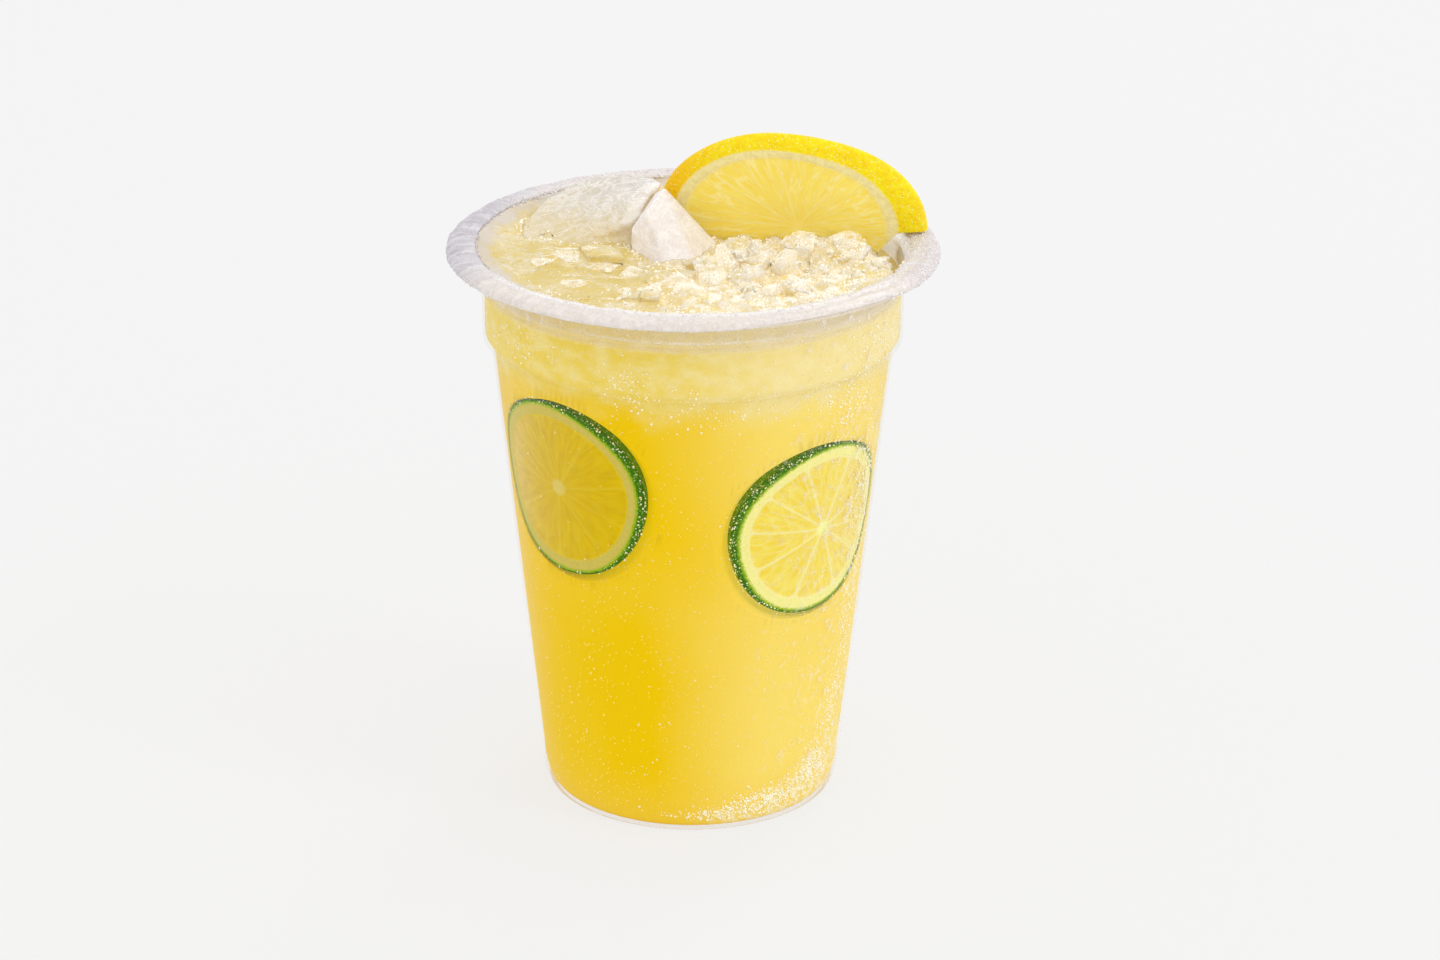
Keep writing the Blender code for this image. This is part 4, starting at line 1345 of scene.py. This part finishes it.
def makeWisps(grounds):
    rng = random.Random(wisps["seed"])
    verts, faces, sides = [], [], wisps["sides"]

    def ground(x, y):
        hits = [dropTo(tree, x, y)[0] for tree in grounds]
        return max((hit.z for hit in hits if hit is not None), default=None)

    for startX, startY, heading, spread in wisps["bundles"] * wisps["count"]:
        x, y = startX + rng.gauss(0, spread), startY + rng.gauss(0, spread * 0.8)
        heading += rng.gauss(0, 0.35) + (pi if rng.random() < 0.5 else 0)
        step, radius = rng.uniform(0.3, 0.7), rng.uniform(*wisps["radius"])
        path = []
        for k in range(wisps["steps"]):
            z = ground(x, y)
            if z is None or hypot(x, y) > 40.2 or z > 124 or (path and abs(z - path[-1].z) > 1.1):
                break
            path.append(Vector((x, y, z + 0.3 * radius)))
            heading += rng.uniform(-0.3, 0.3)
            x, y = x + step * cos(heading), y + step * sin(heading)
        if len(path) < 5:
            continue
        start = len(verts)
        for k, spot in enumerate(path):
            ahead = (path[min(k + 1, len(path) - 1)] - path[max(k - 1, 0)]).normalized()
            side = ahead.cross(Vector((0, 0, 1))).normalized()
            up = side.cross(ahead)
            thin = radius * sin(pi * (k + 0.6) / (len(path) + 0.2))
            for n in range(sides):
                turn = tau * n / sides
                verts.append(spot + (side * cos(turn) * 1.4 + up * sin(turn)) * thin)
        for k in range(len(path) - 1):
            for n in range(sides):
                a, b = start + k * sides + n, start + k * sides + (n + 1) % sides
                faces.append((a, b, b + sides, a + sides))
        faces.append(tuple(start + n for n in range(sides))[::-1])
        faces.append(tuple(start + (len(path) - 1) * sides + n for n in range(sides)))
    mesh = bpy.data.meshes.new("iceWisps")
    mesh.from_pydata([tuple(v * mm) for v in verts], [], faces)
    threads = addObject("iceWisps", mesh)
    faceOutward(threads)
    smooth(threads)
    dress(threads, frostPaint())
    print("wisps made")


# Bubbles on the drink's face, drops on the wall
bubbles = {
    "wall": 6200, "seed": 7, "small": (0.06, 0.125), "large": (0.14, 0.24), "beads": 170,
    "clusters": [  # heading, height, half width in radians, half height, count
        (0.62, 6.0, 0.3, 2.4, 900), (0.25, 4.0, 0.25, 1.5, 340), (0.95, 10.0, 0.14, 4.5, 650),
        (1.1, 22.0, 0.12, 9.0, 380), (1.2, 45.0, 0.12, 16.0, 420), (1.15, 72.0, 0.14, 12.0, 420),
        (0.1, 95.0, 0.35, 4.0, 200), (-0.3, 100.0, 0.12, 4.0, 160), (0.9, 92.0, 0.22, 8.0, 420),
        (1.1, 104.0, 0.2, 5.0, 380), (-0.9, 104.0, 0.2, 3.0, 120),
    ],
}


def bubblePaint(name, dull, bright, glow):
    p = Paint(name)
    tone = p.noise(p.place(), 0.8, 2.0, 0.5)
    colour = p.mix(tone.rise(0.35, 0.65), dull, bright)
    # painted light: the bubbles glow a little, to lift the shade on their lower sides
    return p.finish(p.principled(
        Base_Color=colour, Roughness=0.15, Specular_IOR_Level=0.4,
        Emission_Color=colour, Emission_Strength=glow,
    ))


def overLime(heading, z, slice):
    across = (heading - radians(slice["heading"])) * wallR(slice["height"]) / slice["wide"]
    return hypot(across, z - slice["height"]) < slice["radius"]


def makeBubbles():
    rng = random.Random(bubbles["seed"])
    # a dome that bulges towards -Y, as the other half would be sunk in the drink
    deselectAll()
    bpy.ops.mesh.primitive_uv_sphere_add(segments=8, ring_count=4, radius=mm, rotation=(pi / 2, 0, 0))
    dome = bpy.context.object
    bpy.ops.object.transform_apply(location=True, rotation=True, scale=True)
    editAll()
    bpy.ops.mesh.bisect(
        plane_co=(0, 0, 0), plane_no=(0, 1, 0), use_fill=True, clear_outer=True, threshold=0.01 * mm
    )
    bpy.ops.object.mode_set(mode="OBJECT")
    clear, foam = [], []

    def put(heading, z, size, group):
        spot = spotAt(insideR(z) - 0.05 * size, heading, z)
        flat = Matrix.Diagonal((size, 0.9 * size, size, 1.0))
        group.append((0, Matrix.Translation(spot) @ Matrix.Rotation(heading, 4, "Z") @ flat))

    while len(clear) + len(foam) < bubbles["wall"]:
        heading, z = rng.uniform(-pi, pi), rng.uniform(3.5, 108.5)
        thick = 0.42 + 0.28 * cos(heading - 0.9)
        thick += 0.5 * noise.noise(Vector((heading * 3, z * 0.05, 0))) + 0.45 * (z > 96)
        if any(overLime(heading, z, slice) for slice in limes.values()) and rng.random() < 0.75:
            continue
        if rng.random() < thick:
            size = rng.uniform(*bubbles["small" if rng.random() < 0.93 else "large"])
            put(heading, z, size, foam if rng.random() < 0.06 + 0.2 * (heading > 0.5) else clear)
    for heading, z, wide, high, count in bubbles["clusters"]:
        for _ in range(count):
            spotZ = min(109.0, max(2.6, z + rng.gauss(0, high * 0.6)))
            put(heading + rng.gauss(0, wide * 0.6), spotZ, 0.07 + 0.26 * rng.random() ** 2.2, foam)
    # bubbles caught along the peel of the slices, most on the side of the cup's middle
    for slice in limes.values():
        side = copysign(1, slice["heading"])
        for _ in range(bubbles["beads"]):
            turn = rng.gauss(pi if side > 0 else 0.0, 1.0) - 0.3 * side
            reach = (slice["radius"] + rng.uniform(-0.9, 0.5)) * limeUneven(turn, slice)
            flat = np.array([[reach * cos(turn)], [reach * sin(turn)], [0.0]])
            spot = onWall(*flat, slice)[0]
            put(atan2(spot[0], -spot[1]), spot[2], 0.07 + 0.16 * rng.random() ** 2, foam)
    paints = {
        "wallBubbles": (clear, bubblePaint("bubbles", (254, 230, 120), (255, 243, 190), 0.03)),
        "wallFoam": (foam, bubblePaint("foam bubbles", (254, 236, 160), (255, 251, 226), 0.05)),
    }
    for name, (places, paint) in paints.items():
        drops = joinedCopies(name, [dome], places)
        smooth(drops)
        dress(drops, paint)
    remove(dome)
    print("bubbles made")


# Stage
view = {
    "distance": 900.0, "down": radians(21.61), "roll": radians(0.426),
    "aim": (5.70, 0.0, 65.17), "focal": 4410.3, "frameWide": 1440.0,
}


def makeStage():
    deselectAll()
    bpy.ops.mesh.primitive_plane_add(size=6.0, location=(0, 0, 0))
    floor = bpy.context.object
    floor.name = "floor"
    p = Paint("white floor")
    floor.data.materials.append(p.finish(p.principled(
        Base_Color=(0.2, 0.2, 0.2), Roughness=0.9, Specular_IOR_Level=0.0,
        Emission_Color=(1.0, 1.0, 1.0), Emission_Strength=0.695,
    )))

    world = bpy.data.worlds.new("studio")
    bpy.context.scene.world = world
    world.use_nodes = True
    tree = world.node_tree
    tree.nodes.clear()
    soft = addNode(tree, "ShaderNodeBackground", {}, {"Color": (1.0, 1.0, 1.0, 1.0), "Strength": 0.97})
    seen = addNode(tree, "ShaderNodeBackground", {}, {"Color": (1.0, 1.0, 1.0, 1.0), "Strength": 0.905})
    ray = addNode(tree, "ShaderNodeLightPath", output="Is Camera Ray")
    both = addNode(tree, "ShaderNodeMixShader", {}, [ray, soft, seen])
    addNode(tree, "ShaderNodeOutputWorld", {}, {"Surface": both})

    lamps = {
        "keyLamp": {"at": (1.7, -0.9, 1.7), "size": 0.9, "power": 7.0},
        "backLamp": {"at": (0.9, 1.6, 1.6), "size": 0.8, "power": 4.0},
    }
    for name, lamp in lamps.items():
        deselectAll()
        bpy.ops.object.light_add(type="AREA", location=lamp["at"])
        made = bpy.context.object
        made.name = name
        made.data.shape = "DISK"
        made.data.size = lamp["size"]
        made.data.energy = lamp["power"]
        toward = Vector((0, 0, 0.06)) - Vector(lamp["at"])
        made.rotation_euler = toward.to_track_quat("-Z", "Y").to_euler()

    deselectAll()
    bpy.ops.object.camera_add()
    camera = bpy.context.object
    ahead = Vector((0, cos(view["down"]), -sin(view["down"])))
    right, up = Vector((1, 0, 0)), Vector((0, sin(view["down"]), cos(view["down"])))
    across = right * cos(view["roll"]) + up * sin(view["roll"])
    above = up * cos(view["roll"]) - right * sin(view["roll"])
    turn = Matrix((across, above, -ahead)).transposed().to_4x4()
    spot = (Vector(view["aim"]) - ahead * view["distance"]) * mm
    camera.matrix_world = Matrix.Translation(spot) @ turn
    camera.data.sensor_width = 36.0
    camera.data.lens = view["focal"] / view["frameWide"] * 36.0
    bpy.context.scene.camera = camera
    bpy.context.scene.view_settings.view_transform = "Standard"
    print("stage made")


makeStage()
makeCup()
makeDrink()
makeLimes()
makeSugar()
makeLemon()
heap = makeHeap()
block, slab = makeBigIce()
makeShards(heap, block, slab)
makeWisps([treeOf(heap), treeOf(slab)])
makeRimFrost()
makeBubbles()
